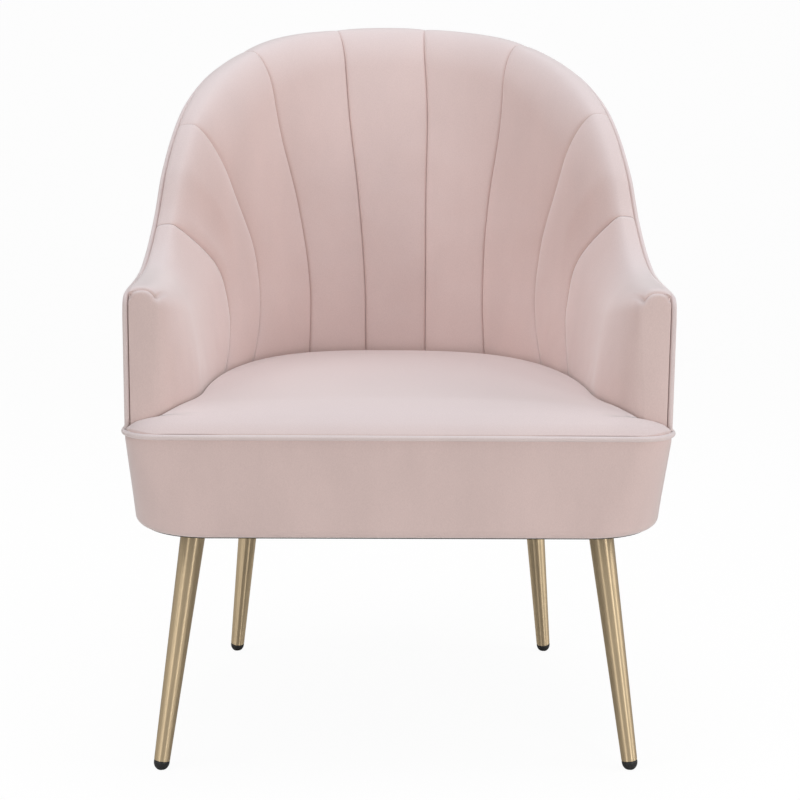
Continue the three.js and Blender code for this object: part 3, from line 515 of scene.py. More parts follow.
def tube_rings(path, radius, sides, closed=False):
    """Round rings square to a path, turned as little as possible from one to the next."""
    count = len(path)
    rings = []
    normal = None
    for i, p in enumerate(path):
        before = path[i - 1] if i or closed else p
        after = path[(i + 1) % count] if i < count - 1 or closed else p
        along = (after - before).normalized()
        if normal is None:
            normal = along.cross(Vector((0, 0, 1)))
            if normal.length < 0.1:
                normal = along.cross(Vector((0, 1, 0)))
        normal = (normal - along * normal.dot(along)).normalized()
        other = along.cross(normal)
        rings.append([p + (normal * c + other * s) * radius for c, s in circle(sides)])
    return rings


def revolve_rings(profile, origin, axis, sides):
    """Rings of a turned piece: pairs of radius and distance along an axis."""
    turn = Vector((0, 0, 1)).rotation_difference(axis).to_matrix()
    return [[origin + turn @ Vector((r * c, r * s, z)) for c, s in circle(sides)] for r, z in profile]


def wander(point, scale, reach):
    """A smooth wandering value round zero."""
    return reach * noise.noise(point * scale)


# Materials


def fill(tree, node, inputs):
    """Sets a node's inputs to values, or joins them to other nodes' sockets."""
    for name, value in dict(inputs).items():
        if isinstance(value, bpy.types.NodeSocket):
            tree.links.new(value, node.inputs[name])
        else:
            node.inputs[name].default_value = value
    return node


def add_node(tree, kind, inputs=(), **settings):
    node = tree.nodes.new(kind)
    for name, value in settings.items():
        setattr(node, name, value)
    return fill(tree, node, inputs)


def new_material(name):
    material = bpy.data.materials.new(name)
    material.use_nodes = True
    return material, material.node_tree, material.node_tree.nodes["Principled BSDF"]


def grain(tree, stretch_by, scale, detail, rough=0.55, source="Object"):
    """Noise drawn out along the axes whose factor is the smallest."""
    coords = add_node(tree, "ShaderNodeTexCoord")
    mapping = add_node(tree, "ShaderNodeMapping", {"Vector": coords.outputs[source], "Scale": stretch_by})
    noise_inputs = {"Vector": mapping.outputs["Vector"], "Scale": scale, "Detail": detail, "Roughness": rough}
    return add_node(tree, "ShaderNodeTexNoise", noise_inputs).outputs["Fac"]


def ramp(tree, value, low, high, low_color, high_color):
    made = add_node(tree, "ShaderNodeValToRGB", {"Fac": value})
    for element, place, color in zip(made.color_ramp.elements, (low, high), (low_color, high_color)):
        element.position = place
        element.color = (*color, 1)
    return made.outputs["Color"]


def between(tree, value, low, high, last=1.0):
    """Brings a value, which runs from 0 to last, between two others."""
    inputs = {"Value": value, "From Max": last, "To Min": low, "To Max": high}
    return add_node(tree, "ShaderNodeMapRange", inputs).outputs["Result"]


def blend(tree, share, under, over, how="MIX"):
    inputs = {0: share, 6: under, 7: over}
    return add_node(tree, "ShaderNodeMix", inputs, data_type="RGBA", blend_type=how).outputs[2]


def bump(tree, height, distance, strength):
    inputs = {"Height": height, "Distance": distance, "Strength": strength}
    return add_node(tree, "ShaderNodeBump", inputs).outputs["Normal"]


def shade(color, factor):
    return tuple(clamp(c * factor) for c in color[:3])


def mix_color(color, other, share):
    return tuple(mix(a, b, share) for a, b in zip(color, other))


def velvet_material(name, color, sheen, pile):
    """Short cut pile with brushed patches, fine mottling and a soft sheen; faces turned up are painted paler, as
    painted light from above.
    """
    material, tree, shader = new_material(name)
    broad = grain(tree, (1, 1, 0.45), 11, 3)
    fine = grain(tree, (1, 1, 0.55), 900, 4, 0.7)
    patches = ramp(tree, broad, 0.3, 0.7, shade(color, 0.95), shade(color, 1.04))
    turned = add_node(tree, "ShaderNodeNewGeometry").outputs["Normal"]
    upward = add_node(tree, "ShaderNodeSeparateXYZ", {"Vector": turned}).outputs["Z"]
    # Faces turned up are mixed towards a paler tone, as painted light falling from overhead; the soft sheen below comes
    # from the shader itself.
    painted_pale = (*mix_color(color, PAINTED_TOP_LIGHT, 0.75), 1)
    top_lit = blend(tree, between(tree, upward, 0, 0.9, 0.95), patches, painted_pale)
    mottle = ramp(tree, fine, 0.25, 0.75, (0.9, 0.885, 0.885), (1, 1, 1))
    fill(tree, shader, {
        "Base Color": blend(tree, 1, top_lit, mottle, "MULTIPLY"),
        "Roughness": between(tree, broad, 0.78, 0.95),
        "Normal": bump(tree, fine, pile, 0.12),
        "Sheen Weight": sheen,
        "Sheen Roughness": 0.42,
        "Sheen Tint": (1, 0.97, 0.965, 1),
        "Specular IOR Level": 0.15,
    })
    return material


def brass_material(name, color, roughness):
    """Satin plated tube: fine streaks in its tone and highlights drawn out along the leg."""
    material, tree, shader = new_material(name)
    streaks = grain(tree, (1, 0.15, 1), 90, 3, 0.6, "UV")
    cloud = grain(tree, (1, 1, 0.4), 30, 3)
    tone = ramp(tree, streaks, 0.3, 0.72, shade(color, 0.88), shade(color, 1.06))
    haze = ramp(tree, cloud, 0.3, 0.75, (0.93, 0.93, 0.94), (1, 1, 1))
    tangent = add_node(tree, "ShaderNodeTangent", direction_type="UV_MAP", uv_map=LEG_MAP)
    fill(tree, shader, {
        "Base Color": blend(tree, 1, tone, haze, "MULTIPLY"),
        "Roughness": between(tree, streaks, roughness - 0.03, roughness + 0.04),
        "Tangent": tangent.outputs["Tangent"],
        "Anisotropic": 1,
        "Anisotropic Rotation": 0.25,
        "Metallic": 1,
    })
    return material


def grained_material(name, color, stretch_by, scale, low, high, roughness, relief, metallic=0.0):
    """A plain finish with its own grain: plywood, felt, webbing, dust cloth, moulded plastic or steel."""
    material, tree, shader = new_material(name)
    value = grain(tree, stretch_by, scale, 5, 0.6)
    fill(tree, shader, {
        "Base Color": ramp(tree, value, 0.3, 0.7, shade(color, low), shade(color, high)),
        "Roughness": between(tree, value, roughness - 0.06, roughness + 0.06),
        "Normal": bump(tree, value, relief, 0.6),
        "Metallic": metallic,
    })
    return material


def finish(name, maker, *settings):
    """A finish is made once and then shared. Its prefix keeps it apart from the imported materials."""
    name = f"chair_{name}"
    return bpy.data.materials.get(name) or maker(name, *settings)


def grained(name):
    return finish(name, grained_material, *GRAINS[name])


def velvet():
    cover = bpy.context.scene.chair_cover
    return finish("velvet", velvet_material, tuple(cover.color), cover.sheen, cover.pile)


def piping():
    cover = bpy.context.scene.chair_cover
    # The piping is painted paler than the cover velvet it is cut from, as a painted highlight on the raised cord.
    painted_pale = mix_color(cover.color, PIPING_PAINTED_LIGHT, 0.5)
    return finish("piping_velvet", velvet_material, painted_pale, cover.sheen, cover.pile / 2)


def dress(slot, material):
    """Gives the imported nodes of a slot, which keep their own shape, a finish."""
    for name, own in SLOTS.items():
        if own == slot:
            node = bpy.data.objects[name]
            node.data.materials.clear()
            node.data.materials.append(material)


# Settings


class ChairCoverSettings(bpy.types.PropertyGroup):
    """Cover cloth and padding."""

    color: bpy.props.FloatVectorProperty(
        name="Cover colour", description="Colour of the velvet", default=(0.80, 0.625, 0.587),
        subtype="COLOR", min=0, max=1)
    sheen: bpy.props.FloatProperty(
        name="Sheen", description="Soft light edge of the pile", default=0.9, min=0, max=1, subtype="FACTOR")
    pile: bpy.props.FloatProperty(
        name="Pile", description="Height of the pile's relief", default=0.0005, min=0, max=0.002,
        subtype="DISTANCE", unit="LENGTH")
    valley: bpy.props.FloatProperty(
        name="Valley depth", description="How far a stitched seam lies under its channel's crest",
        default=0.008, min=0, max=0.02, subtype="DISTANCE", unit="LENGTH")
    lean: bpy.props.FloatProperty(
        name="Channel lean", description="How far the sewn channels lean to the sitter's right at the top",
        default=1, min=0, max=1, subtype="FACTOR")
    puff: bpy.props.FloatProperty(
        name="Puff power", description="How squarely the channels are filled", default=2.4, min=2, max=4)
    swell: bpy.props.FloatProperty(
        name="Seat swell", description="Farthest that the stuffed seat moves in its simulation",
        default=0.006, min=0.0001, max=0.02, subtype="DISTANCE", unit="LENGTH")


class ChairLegSettings(bpy.types.PropertyGroup):
    """Legs and glides."""

    color: bpy.props.FloatVectorProperty(
        name="Leg colour", description="Colour of the plated tube", default=(0.93, 0.74, 0.48),
        subtype="COLOR", min=0, max=1)
    roughness: bpy.props.FloatProperty(
        name="Leg roughness", description="Roughness of the brushed plating", default=0.5, min=0.05, max=0.9,
        subtype="FACTOR")
    glide_color: bpy.props.FloatVectorProperty(
        name="Glide colour", description="Colour of the moulded glides", default=(0.012, 0.012, 0.012),
        subtype="COLOR", min=0, max=1)
    tip: bpy.props.FloatProperty(
        name="Tip radius", description="Radius of the leg at the floor", default=0.0095, min=0.006, max=0.014,
        subtype="DISTANCE", unit="LENGTH")
    top: bpy.props.FloatProperty(
        name="Top radius", description="Radius of the leg at its top", default=0.0153, min=0.012, max=0.022,
        subtype="DISTANCE", unit="LENGTH")


class ChairStageSettings(bpy.types.PropertyGroup):
    """Studio floor, light and camera."""

    floor_color: bpy.props.FloatVectorProperty(
        name="Floor colour", description="Colour of the seamless floor", default=(0.86, 0.86, 0.86),
        subtype="COLOR", min=0, max=1)
    key: bpy.props.FloatProperty(
        name="Key light", description="Strength of the large soft light overhead", default=23, min=0, unit="POWER")
    boxes: bpy.props.FloatProperty(
        name="Side boxes", description="Strength of the two high soft boxes at the sides", default=14, min=0,
        unit="POWER")
    strips: bpy.props.FloatProperty(
        name="Strip lights", description="Strength of the two low upright strip lights", default=9, min=0,
        unit="POWER")
    sky: bpy.props.FloatProperty(
        name="Room light", description="Strength of the even light of the room", default=0.34, min=0)
    shine: bpy.props.FloatProperty(
        name="Shine", description="How much brighter the room is in reflections", default=0.25, min=0)
    lens: bpy.props.FloatProperty(
        name="Lens", description="Focal length of the camera", default=74.8, min=20, max=200, unit="CAMERA")


# Wall pads


def channel_sag(across, cover):
    n = cover.puff
    pinch = SEAM_PINCH * clamp((abs(across) - 0.95) / 0.05) ** 2
    return cover.valley * (1 - max(1 - abs(across) ** n, 0) ** (1 / n)) + pinch


FACE_STEPS = 64
ROLL_STEPS = 14
OUTER_STEPS = 9


def roll_drop(place):
    """How far under the top the rolled rim starts: it grows from the arm's front towards the back."""
    behind = clamp((BROAD_ROLL_FROM - abs(place)) / BROAD_ROLL_REACH)
    return mix(ROLL_HEIGHT, BROAD_ROLL, ease(behind)) * stretch(place)


def pad_ring(place_at, sag, back_depth):
    """One upright ring of a pad: up its face, over the rolled rim to the piping, and down its back."""
    rim = place_at(1)
    k = stretch(rim)
    top = rim_height(rim) - front_drop(rim)
    low = top - roll_drop(rim)
    hook = top - HOOK_HEIGHT * k

    def share_at(z):
        return (z - SHELL_FOOT) / (top - SHELL_FOOT)

    def back_point(z, depth):
        return wall_point(place_at(share_at(z)), z, depth)

    def crest_depth(place, h):
        return pad_thickness(place, h) + CREST_RISE - sag

    front, back = [], []
    for s in steps(FACE_STEPS):
        h = s * share_at(low)
        place = place_at(h)
        z = mix(SHELL_FOOT, top, h)
        depth = crest_depth(place, h)
        p = wall_point(place, z, depth)
        soft = wander(p, 16, 0.0011) + wander(p, 55, 0.00035)
        front.append(wall_point(place, z, depth + soft * sin(pi * clamp(s * 1.1))))
        back.append(back_point(mix(SHELL_FOOT, hook, s), back_depth))
    power = 2 / ROLL_POWER
    for s in steps(ROLL_STEPS)[1:]:
        angle = pi / 2 * s
        z = mix(low, top, sin(angle) ** power)
        h = share_at(z)
        place = place_at(h)
        depth = mix(ROLL_CREST, crest_depth(place, h), max(cos(angle), 0) ** power)
        front.append(wall_point(place, z - sag * s * RIM_SAG, depth))
    power = 2 / SHOULDER_POWER
    for s in steps(OUTER_STEPS)[1:]:
        angle = pi / 2 * s
        depth = mix(ROLL_CREST, PAD_OUTER_EDGE, sin(angle) ** power)
        z = top - sag * RIM_SAG - ROLL_SHOULDER * k * (1 - max(cos(angle), 0) ** power)
        front.append(wall_point(rim, z, depth))
    edge = top - sag * RIM_SAG - (ROLL_SHOULDER + 0.0015) * k
    for s in steps(ROLL_STEPS + OUTER_STEPS)[1:]:
        back.append(back_point(mix(hook, edge, s), PAD_OUTER_EDGE))
    return front + back[::-1]


class CHAIR_OT_back_channels(bpy.types.Operator):
    """Builds the seven stuffed channels of the back between their stitched seams"""

    bl_idname = "chair.back_channels"
    bl_label = "Back channels"

    def execute(self, context):
        cover = context.scene.chair_cover
        for i in range(CHANNEL_COUNT):
            rings = []
            for spread in steps(34, -1, 1):
                across = sin(spread * pi / 2) * 0.998
                share = (across + 1) / 2

                def place_at(h):
                    return mix(seam_place(i, h), seam_place(i + 1, h), share)

                rings.append(pad_ring(place_at, channel_sag(across, cover), PAD_BACK))
            skin = skin_with_ladders(rings)
            piece = add_piece(f"channel_{i + 1}", skin, velvet(), 50, f"back_channel_{i + 1}")
        return {"FINISHED"}


class CHAIR_OT_arm_pads(bpy.types.Operator):
    """Builds the two arm pads with their soft inner corner and the dart over the front panel"""

    bl_idname = "chair.arm_pads"
    bl_label = "Arm pads"

    def execute(self, context):
        cover = context.scene.chair_cover
        nose, span = behind_front(NOSE_LENGTH), behind_front(ARM_FACING)
        for side, seam, name in ((-1, 0, "left"), (1, CHANNEL_COUNT, "right")):
            rings = []
            for t in steps(30):
                share = ease(t) * 0.5 + t * 0.5

                def place_at(h):
                    return mix(seam_place(seam, h) + side * 0.0002, side * nose, share)

                near = share * (nose - ARM_SEAM) / (span - ARM_SEAM) / LOBE_EDGE
                rings.append(pad_ring(place_at, channel_sag(max(1 - near, 0), cover), PAD_BACK))
            reach = [NOSE_LENGTH * (1 - sin(a)) for a in quarter(30)]
            distances = [d for d in reach[1:] if d > ARM_FACING] + steps(12, ARM_FACING, 0)
            for d in distances:
                place = side * behind_front(d)
                back = PAD_BACK if d >= ARM_FACING else PAD_OUTER_EDGE + 0.0002
                rings.append(pad_ring(lambda h: place, 0, back))
            points, faces = join_rings(rings, ends=False)
            size = len(rings[0])
            faces += ladder(0, size)
            faces += self.front_panel(rings[-1], points, (len(rings) - 1) * size)
            piece = add_piece(f"arm_{name}", (points, faces), velvet(), 70, f"arm_pad_{name}")
            self.sew_dart(piece, rings)
        return {"FINISHED"}

    def front_panel(self, ring, points, start):
        """Fills the arm's front face with columns from its inner edge to the piping."""
        size = len(ring)
        half = size // 2
        columns = 16
        index = [list(range(start, start + half))]
        for c in range(1, columns):
            share = 0.5 - 0.5 * cos(pi * c / columns)
            index.append(list(range(len(points), len(points) + half)))
            for k in range(half):
                p = ring[k].lerp(ring[size - 1 - k], share)
                p.y -= PANEL_CROWN * sin(pi * share) ** 0.6
                points.append(p)
        index.append([start + size - 1 - k for k in range(half)])
        return quads(index)

    def sew_dart(self, piece, rings):
        """Draws the skin in along the short seam over the front panel, which fades out on its inner corner."""
        knee = FACE_STEPS + 6
        over = rings[-1][knee:FACE_STEPS + ROLL_STEPS + OUTER_STEPS]
        line = [ring[knee] for ring in rings[-21:-1]]
        for p in over:
            near = clamp(1 - (abs(over[-1].x) - abs(p.x)) / DART_DIP_LENGTH)
            line.append(p + Vector((0, 0, -DART_DIP * near * near)))
        lengths = list(accumulate(((b - a).length for a, b in pairwise(line)), initial=0.0))
        mesh = piece.data
        moves = []
        for vertex in mesh.vertices:
            co = vertex.co
            if co.y > line[0].y + 0.012 or co.z < over[0].z - 0.02:
                continue
            best, along = min(((co - p).length, lengths[i]) for i, p in enumerate(line))
            fade = clamp(along / DART_FADE)
            moves.append((vertex.index, vertex.normal.copy() * DART_DEPTH * fade * exp(-(best / DART_WIDTH) ** 2)))
        for index, move in moves:
            mesh.vertices[index].co -= move


# Covers and piping


class CHAIR_OT_outside_cover(bpy.types.Operator):
    """Builds the cover over the outside of the arms and back"""

    bl_idname = "chair.outside_cover"
    bl_label = "Outside cover"

    def execute(self, context):
        gap = WELT_RADIUS + 0.0006
        bend_middle = WELT_RADIUS + WELT_BEND
        bend = WELT_BEND - gap

        def top(place):
            short = clamp((bend_middle - behind_of(place)) / bend)
            drop = bend * (1 - sqrt(max(1 - short * short, 0)))
            return rim_height(place) - (WELT_DROP + gap) * stretch(place) - drop - welt_corner_drop(place)

        front = [behind_front(bend_middle - bend * sin(a)) for a in quarter(8)]
        half = steps(90, 0, front[0]) + front[1:]
        places = [-p for p in reversed(half[1:])] + half
        rings = []
        for place in places:
            z_top = top(place)
            outside, inside = [], []
            for s in steps(40):
                z = mix(SHELL_FOOT, z_top, s)
                p = wall_point(place, z, 0)
                slack = sin(pi * s) * (wander(p, 9, 0.0009) + 0.0003)
                outside.append(wall_point(place, z, slack + 0.0006 * (abs(2 * s - 1) ** 12)))
                inside.append(wall_point(place, z, COVER_THICKNESS))
            rings.append(outside + inside[::-1])
        piece = add_piece("shell_outside", skin_with_ladders(rings), velvet(), 50, "outside_cover")
        return {"FINISHED"}


class CHAIR_OT_base_band(bpy.types.Operator):
    """Builds the band round the base, folded under and stapled to the bottom board"""

    bl_idname = "chair.base_band"
    bl_label = "Base band"

    def execute(self, context):
        top = JOINT_HEIGHT - WELT_RADIUS - GAP
        inner = BAND_EDGE - COVER_THICKNESS

        def bend(radius, angles):
            return [(BAND_EDGE - radius * cos(a), BASE_BOTTOM + BAND_EDGE - radius * sin(a)) for a in angles]

        angles = quarter(10)
        outer_wall = [(0.0, mix(top, BASE_BOTTOM + BAND_EDGE, s)) for s in steps(16)[:-1]]
        outer_wall[0] = (0.0008, top)
        fold = [(mix(BAND_EDGE, BAND_FOLD, s), BASE_BOTTOM) for s in steps(6)[1:]]
        back = [(mix(BAND_FOLD, BAND_EDGE, s), BASE_BOTTOM + COVER_THICKNESS) for s in steps(4)[:-1]]
        section = outer_wall + bend(BAND_EDGE, angles) + fold + back
        section += bend(inner, angles[::-1]) + [(COVER_THICKNESS, top)]
        rings = []
        for turn in base_turns(2):
            ring = []
            for inset, z in section:
                p = base_point(turn, z, inset)
                free = sin(pi * clamp((z - BASE_BOTTOM) / (top - BASE_BOTTOM)))
                soft = free * (wander(p, 13, 0.0007) + 0.0002) if inset < 0.001 else 0
                ring.append(base_point(turn, z, inset + soft))
            rings.append(ring)
        piece = add_piece("base_cover", join_rings(rings, closed=True), velvet(), 60, "base_band")
        return {"FINISHED"}


class CHAIR_OT_piping(bpy.types.Operator):
    """Builds the covered cord round the base and along the outer edge of the shell"""

    bl_idname = "chair.piping"
    bl_label = "Piping"

    def execute(self, context):
        ring = [base_point(turn, JOINT_HEIGHT, 0) for turn in base_turns(4)]
        rings = tube_rings(ring, WELT_RADIUS, 16, closed=True)
        add_piece("base_piping", join_rings(rings, closed=True), piping(), None, "base_welt")
        edge = behind_front(WELT_RADIUS)

        def height(place):
            return rim_height(place) - welt_corner_drop(place) - WELT_DROP * stretch(place)

        def run(place):
            return wall_point(place, height(place), WELT_INSET)

        bend_top = run(edge).z - WELT_BEND
        rise = [wall_point(edge, z, WELT_INSET) for z in steps(24, SHELL_FOOT + GAP, bend_top)]
        for angle in quarter(10)[1:]:
            place = behind_front(WELT_RADIUS + WELT_BEND * (1 - cos(angle)))
            rise.append(wall_point(place, bend_top + WELT_BEND * sin(angle), WELT_INSET))
        end = behind_front(WELT_RADIUS + WELT_BEND)
        over = [run(p) for p in steps(300, -end, end)[1:-1]]
        left = [Vector((-p.x, p.y, p.z)) for p in rise]
        rings = tube_rings(left + over + rise[::-1], WELT_RADIUS, 16)
        add_piece("shell_piping", join_rings(rings), piping(), 60, "shell_welt")
        return {"FINISHED"}


# Seat


class CHAIR_OT_seat(bpy.types.Operator):
    """Builds the crowned seat pad and lets its cover swell over the foam"""

    bl_idname = "chair.seat"
    bl_label = "Seat"

    def execute(self, context):
        fine = 6
        columns = [sin(s * pi / 2) for s in steps(72, -1, 1)]
        outline = seat_rows(0.0014, JOINT_HEIGHT, fine)
        inner = seat_rows(COVER_THICKNESS + GAP, SEAT_RING_TOP, fine)
        foot = SHELL_FOOT - 0.0017
        rings = []
        for (half, y), (half_low, y_low) in zip(outline, inner):
            upper = [at(s * half, y, seat_height(s * half, y)) for s in columns]
            edge = [Vector((p.x, p.y, foot)) for p in (upper[0], upper[-1])]
            z = SEAT_RING_TOP + SPRING_WIRE + 4 * GAP + INSULATOR + spring_lift(y_low)
            lower = [at(s * half_low, y_low, z) for s in columns]
            inside = [Vector((p.x, p.y, foot)) for p in (lower[0], lower[-1])]
            rings.append(upper + [edge[1], inside[1]] + lower[::-1] + [inside[0], edge[0]])
        piece = add_piece("seat_pad", join_rings(rings), velvet(), 60, "seat_cover", "seat_foam")
        self.swell(context, piece, context.scene.chair_cover.swell)
        return {"FINISHED"}

    def swell(self, context, piece, cap):
        """Fills the pad with pressure, holds its rim, and lifts every point by at most the cap, fading to the rim."""
        mesh = piece.data
        start = [v.co.copy() for v in mesh.vertices]
        held = piece.vertex_groups.new(name="held")
        for vertex in mesh.vertices:
            x, y, z = vertex.co
            y -= PLAN_SHIFT
            edge = min(y - BASE_FRONT, BASE_HALF_WIDTH - abs(x))
            on_top = abs(z - seat_height(x, y)) < 0.0005
            weight = 1 - clamp((edge - SWELL_HELD) / SWELL_FADE) * SWELL_FREE if on_top else 1
            held.add([vertex.index], weight, "REPLACE")
        cloth = piece.modifiers.new("stuffing", "CLOTH")
        settings = cloth.settings
        settings.quality = 5
        settings.mass = 0.3
        settings.use_pressure = True
        settings.uniform_pressure_force = 4
        settings.tension_stiffness = 12
        settings.compression_stiffness = 12
        settings.bending_stiffness = 2
        settings.vertex_group_mass = "held"
        settings.effector_weights.gravity = 0
        cloth.collision_settings.use_self_collision = False
        cloth.point_cache.frame_start = 1
        cloth.point_cache.frame_end = SWELL_FRAMES
        for number in range(1, SWELL_FRAMES + 1):
            context.scene.frame_set(number)
        graph = context.evaluated_depsgraph_get()
        swollen = piece.evaluated_get(graph).to_mesh()
        moved = [v.co.copy() for v in swollen.vertices]
        piece.evaluated_get(graph).to_mesh_clear()
        piece.modifiers.remove(cloth)
        for vertex, before, after in zip(mesh.vertices, start, moved):
            rise = clamp((after.z - before.z) / cap) * cap
            share = seat_dome(before.x, before.y - PLAN_SHIFT)
            vertex.co = before + Vector((0, 0, rise * share))
        context.scene.frame_set(1)
        mesh.update()


# Legs


class CHAIR_OT_legs(bpy.types.Operator):
    """Builds the four tapered tubes and the moulded glides at their tips"""

    bl_idname = "chair.legs"
    bl_label = "Legs"

    def execute(self, context):
        legs = context.scene.chair_legs
        brass = finish("brushed_brass", brass_material, tuple(legs.color), legs.roughness)
        plastic = finish("moulded_plastic", grained_material, tuple(legs.glide_color), *PLASTIC_GRAIN)
        for name in LEG_NAMES:
            row, hand = name.split("_")
            side = -1 if hand == "left" else 1
            (foot_x, foot_y), (top_x, top_y) = LEG_ENDS[row]
            foot = at(side * foot_x, foot_y, 0)
            axis = Vector((side * (top_x - foot_x), top_y - foot_y, BASE_BOTTOM))
            self.tube(name, foot, axis, legs, brass)
            self.glide(name, foot, axis.normalized(), legs, plastic)
        return {"FINISHED"}

    def tube(self, name, foot, axis, legs, material):
        """Turns a tube whose top is cut level with the base, and maps its skin round and along."""
        level = BASE_BOTTOM - 2 * GAP - DUST_COVER_THICKNESS
        length = axis.length * level / BASE_BOTTOM
        way = axis.normalized()

        def radius(along):
            return mix(legs.tip, legs.top, along / length)

        mouth = radius(0.011)
        profile = [(mouth - TUBE_WALL, 0.024), (mouth - TUBE_WALL, 0.0112), (mouth - 0.0005, 0.0110)]
        profile += [(mouth - 0.0001, 0.0113), (radius(0.0118), 0.0118)]
        profile += [(radius(along), along) for along in steps(20, 0.014, length - 0.012)]
        rings = revolve_rings(profile, foot, way, TUBE_SIDES)
        turn = Vector((0, 0, 1)).rotation_difference(way).to_matrix()
        top_ring = []
        for c, s in circle(TUBE_SIDES):
            out = turn @ Vector((c, s, 0))
            along = length
            for _ in range(3):
                along = (level - out.z * radius(along)) / way.z
            top_ring.append(foot + way * along + out * radius(along))
        skin = join_rings(rings + [top_ring])
        mesh = add_piece(f"leg_{name}", skin, material, 40, f"leg_{name}_tube").data
        layer = mesh.uv_layers.new(name=LEG_MAP)
        upright = turn.transposed()
        for polygon in mesh.polygons:
            middle = upright @ (polygon.center - foot)
            around = atan2(middle.y, middle.x)
            for index in polygon.loop_indices:
                p = upright @ (mesh.vertices[mesh.loops[index].vertex_index].co - foot)
                angle = atan2(p.y, p.x)
                angle += tau * round((around - angle) / tau)
                layer.data[index].uv = (angle / tau, p.z)

    def glide(self, name, foot, way, legs, material):
        rim = legs.tip + 0.0002
        profile = [(rim * sin(a), 0.009 - 0.0106 * cos(a)) for a in quarter(14)[1:]]
        profile += [(rim, 0.0102), (rim - 0.0005, 0.0107), (rim - 0.0022, 0.0107), (rim - 0.0022, 0.024)]
        rings = revolve_rings(profile, foot, way, 40)
        for ring in rings:
            for p in ring:
                p.z = max(p.z, 0)
        add_piece(f"glide_{name}", join_rings(rings), material, 45, f"leg_{name}_glide")


# Inner pieces


class CHAIR_OT_inner_pieces(bpy.types.Operator):
    """Gives the hidden frame, springs and fixings their finishes, and rebuilds the soft layers"""

    bl_idname = "chair.inner_pieces"
    bl_label = "Inner pieces"

    def execute(self, context):
        dress("plywood", grained("plywood"))
        dress("steel", grained("zinc_steel"))
        self.webbing()
        self.insulator()
        self.dust_cover()
        return {"FINISHED"}

    def webbing(self):
        for i, (share, reach) in enumerate(WEBBINGS):
            foot = mix(JOINT_HEIGHT, rim_height(reach), share) - WEBBING_WIDTH / 2
            rings = []
            for place in steps(90, -reach, reach):
                outside, inside = (
                    [wall_point(place, foot + WEBBING_WIDTH * s, depth + way * 0.0003 * abs(2 * s - 1) ** 6)
                     for s in steps(12)]
                    for depth, way in zip(WEBBING_DEPTHS, (1, -1))
                )
                rings.append(outside + inside[::-1])
            skin = join_rings(rings)
            band = add_piece(f"webbing_{i + 1}", skin, grained("elastic_webbing"), 50, f"back_webbing_{i + 1}")

    def insulator(self):
        rings = []
        for half, y in seat_rows(INSULATOR_INSET, SEAT_RING_TOP, 3):
            z = SEAT_RING_TOP + SPRING_WIRE + 2 * GAP + spring_lift(y)
            ring = [at(s * half, y, z + INSULATOR) for s in steps(24, -1, 1)]
            rings.append(ring + [at(s * half, y, z) for s in steps(24, 1, -1)])
        piece = add_piece("insulator_pad", join_rings(rings), grained("needled_felt"), 50, "seat_insulator")

    def dust_cover(self):
        top = BASE_BOTTOM - GAP
        outline = [base_point(turn, BASE_BOTTOM, DUST_COVER_INSET) for turn in base_turns(1)]
        center = at(0, 0.25, 0)
        rings = []
        for s in (0.004, 0.2, 0.4, 0.6, 0.75, 0.88, 0.95, 0.985, 1):
            ring = [center.lerp(edge, s) for edge in outline]
            for p in ring:
                p.z = top - 0.0006 - (0.0004 + wander(p, 30, 0.0002)) * (1 - s ** 6)
            rings.append(ring)
        under = [[Vector((p.x, p.y, top)) for p in ring] for ring in (rings[-1], rings[0])]
        piece = add_piece("dust_cloth", join_rings(rings + under), grained("dust_cloth"), 50, "dust_cover")


# Studio


def camera_ray_mix(tree, others, seen, share):
    """Shows a plain white to the camera, and lights with something else."""
    rays = add_node(tree, "ShaderNodeLightPath").outputs["Is Camera Ray"]
    scaled = add_node(tree, "ShaderNodeMath", {0: rays, 1: share}, operation="MULTIPLY")
    return add_node(tree, "ShaderNodeMixShader", {0: scaled.outputs[0], 1: others, 2: seen}).outputs[0]


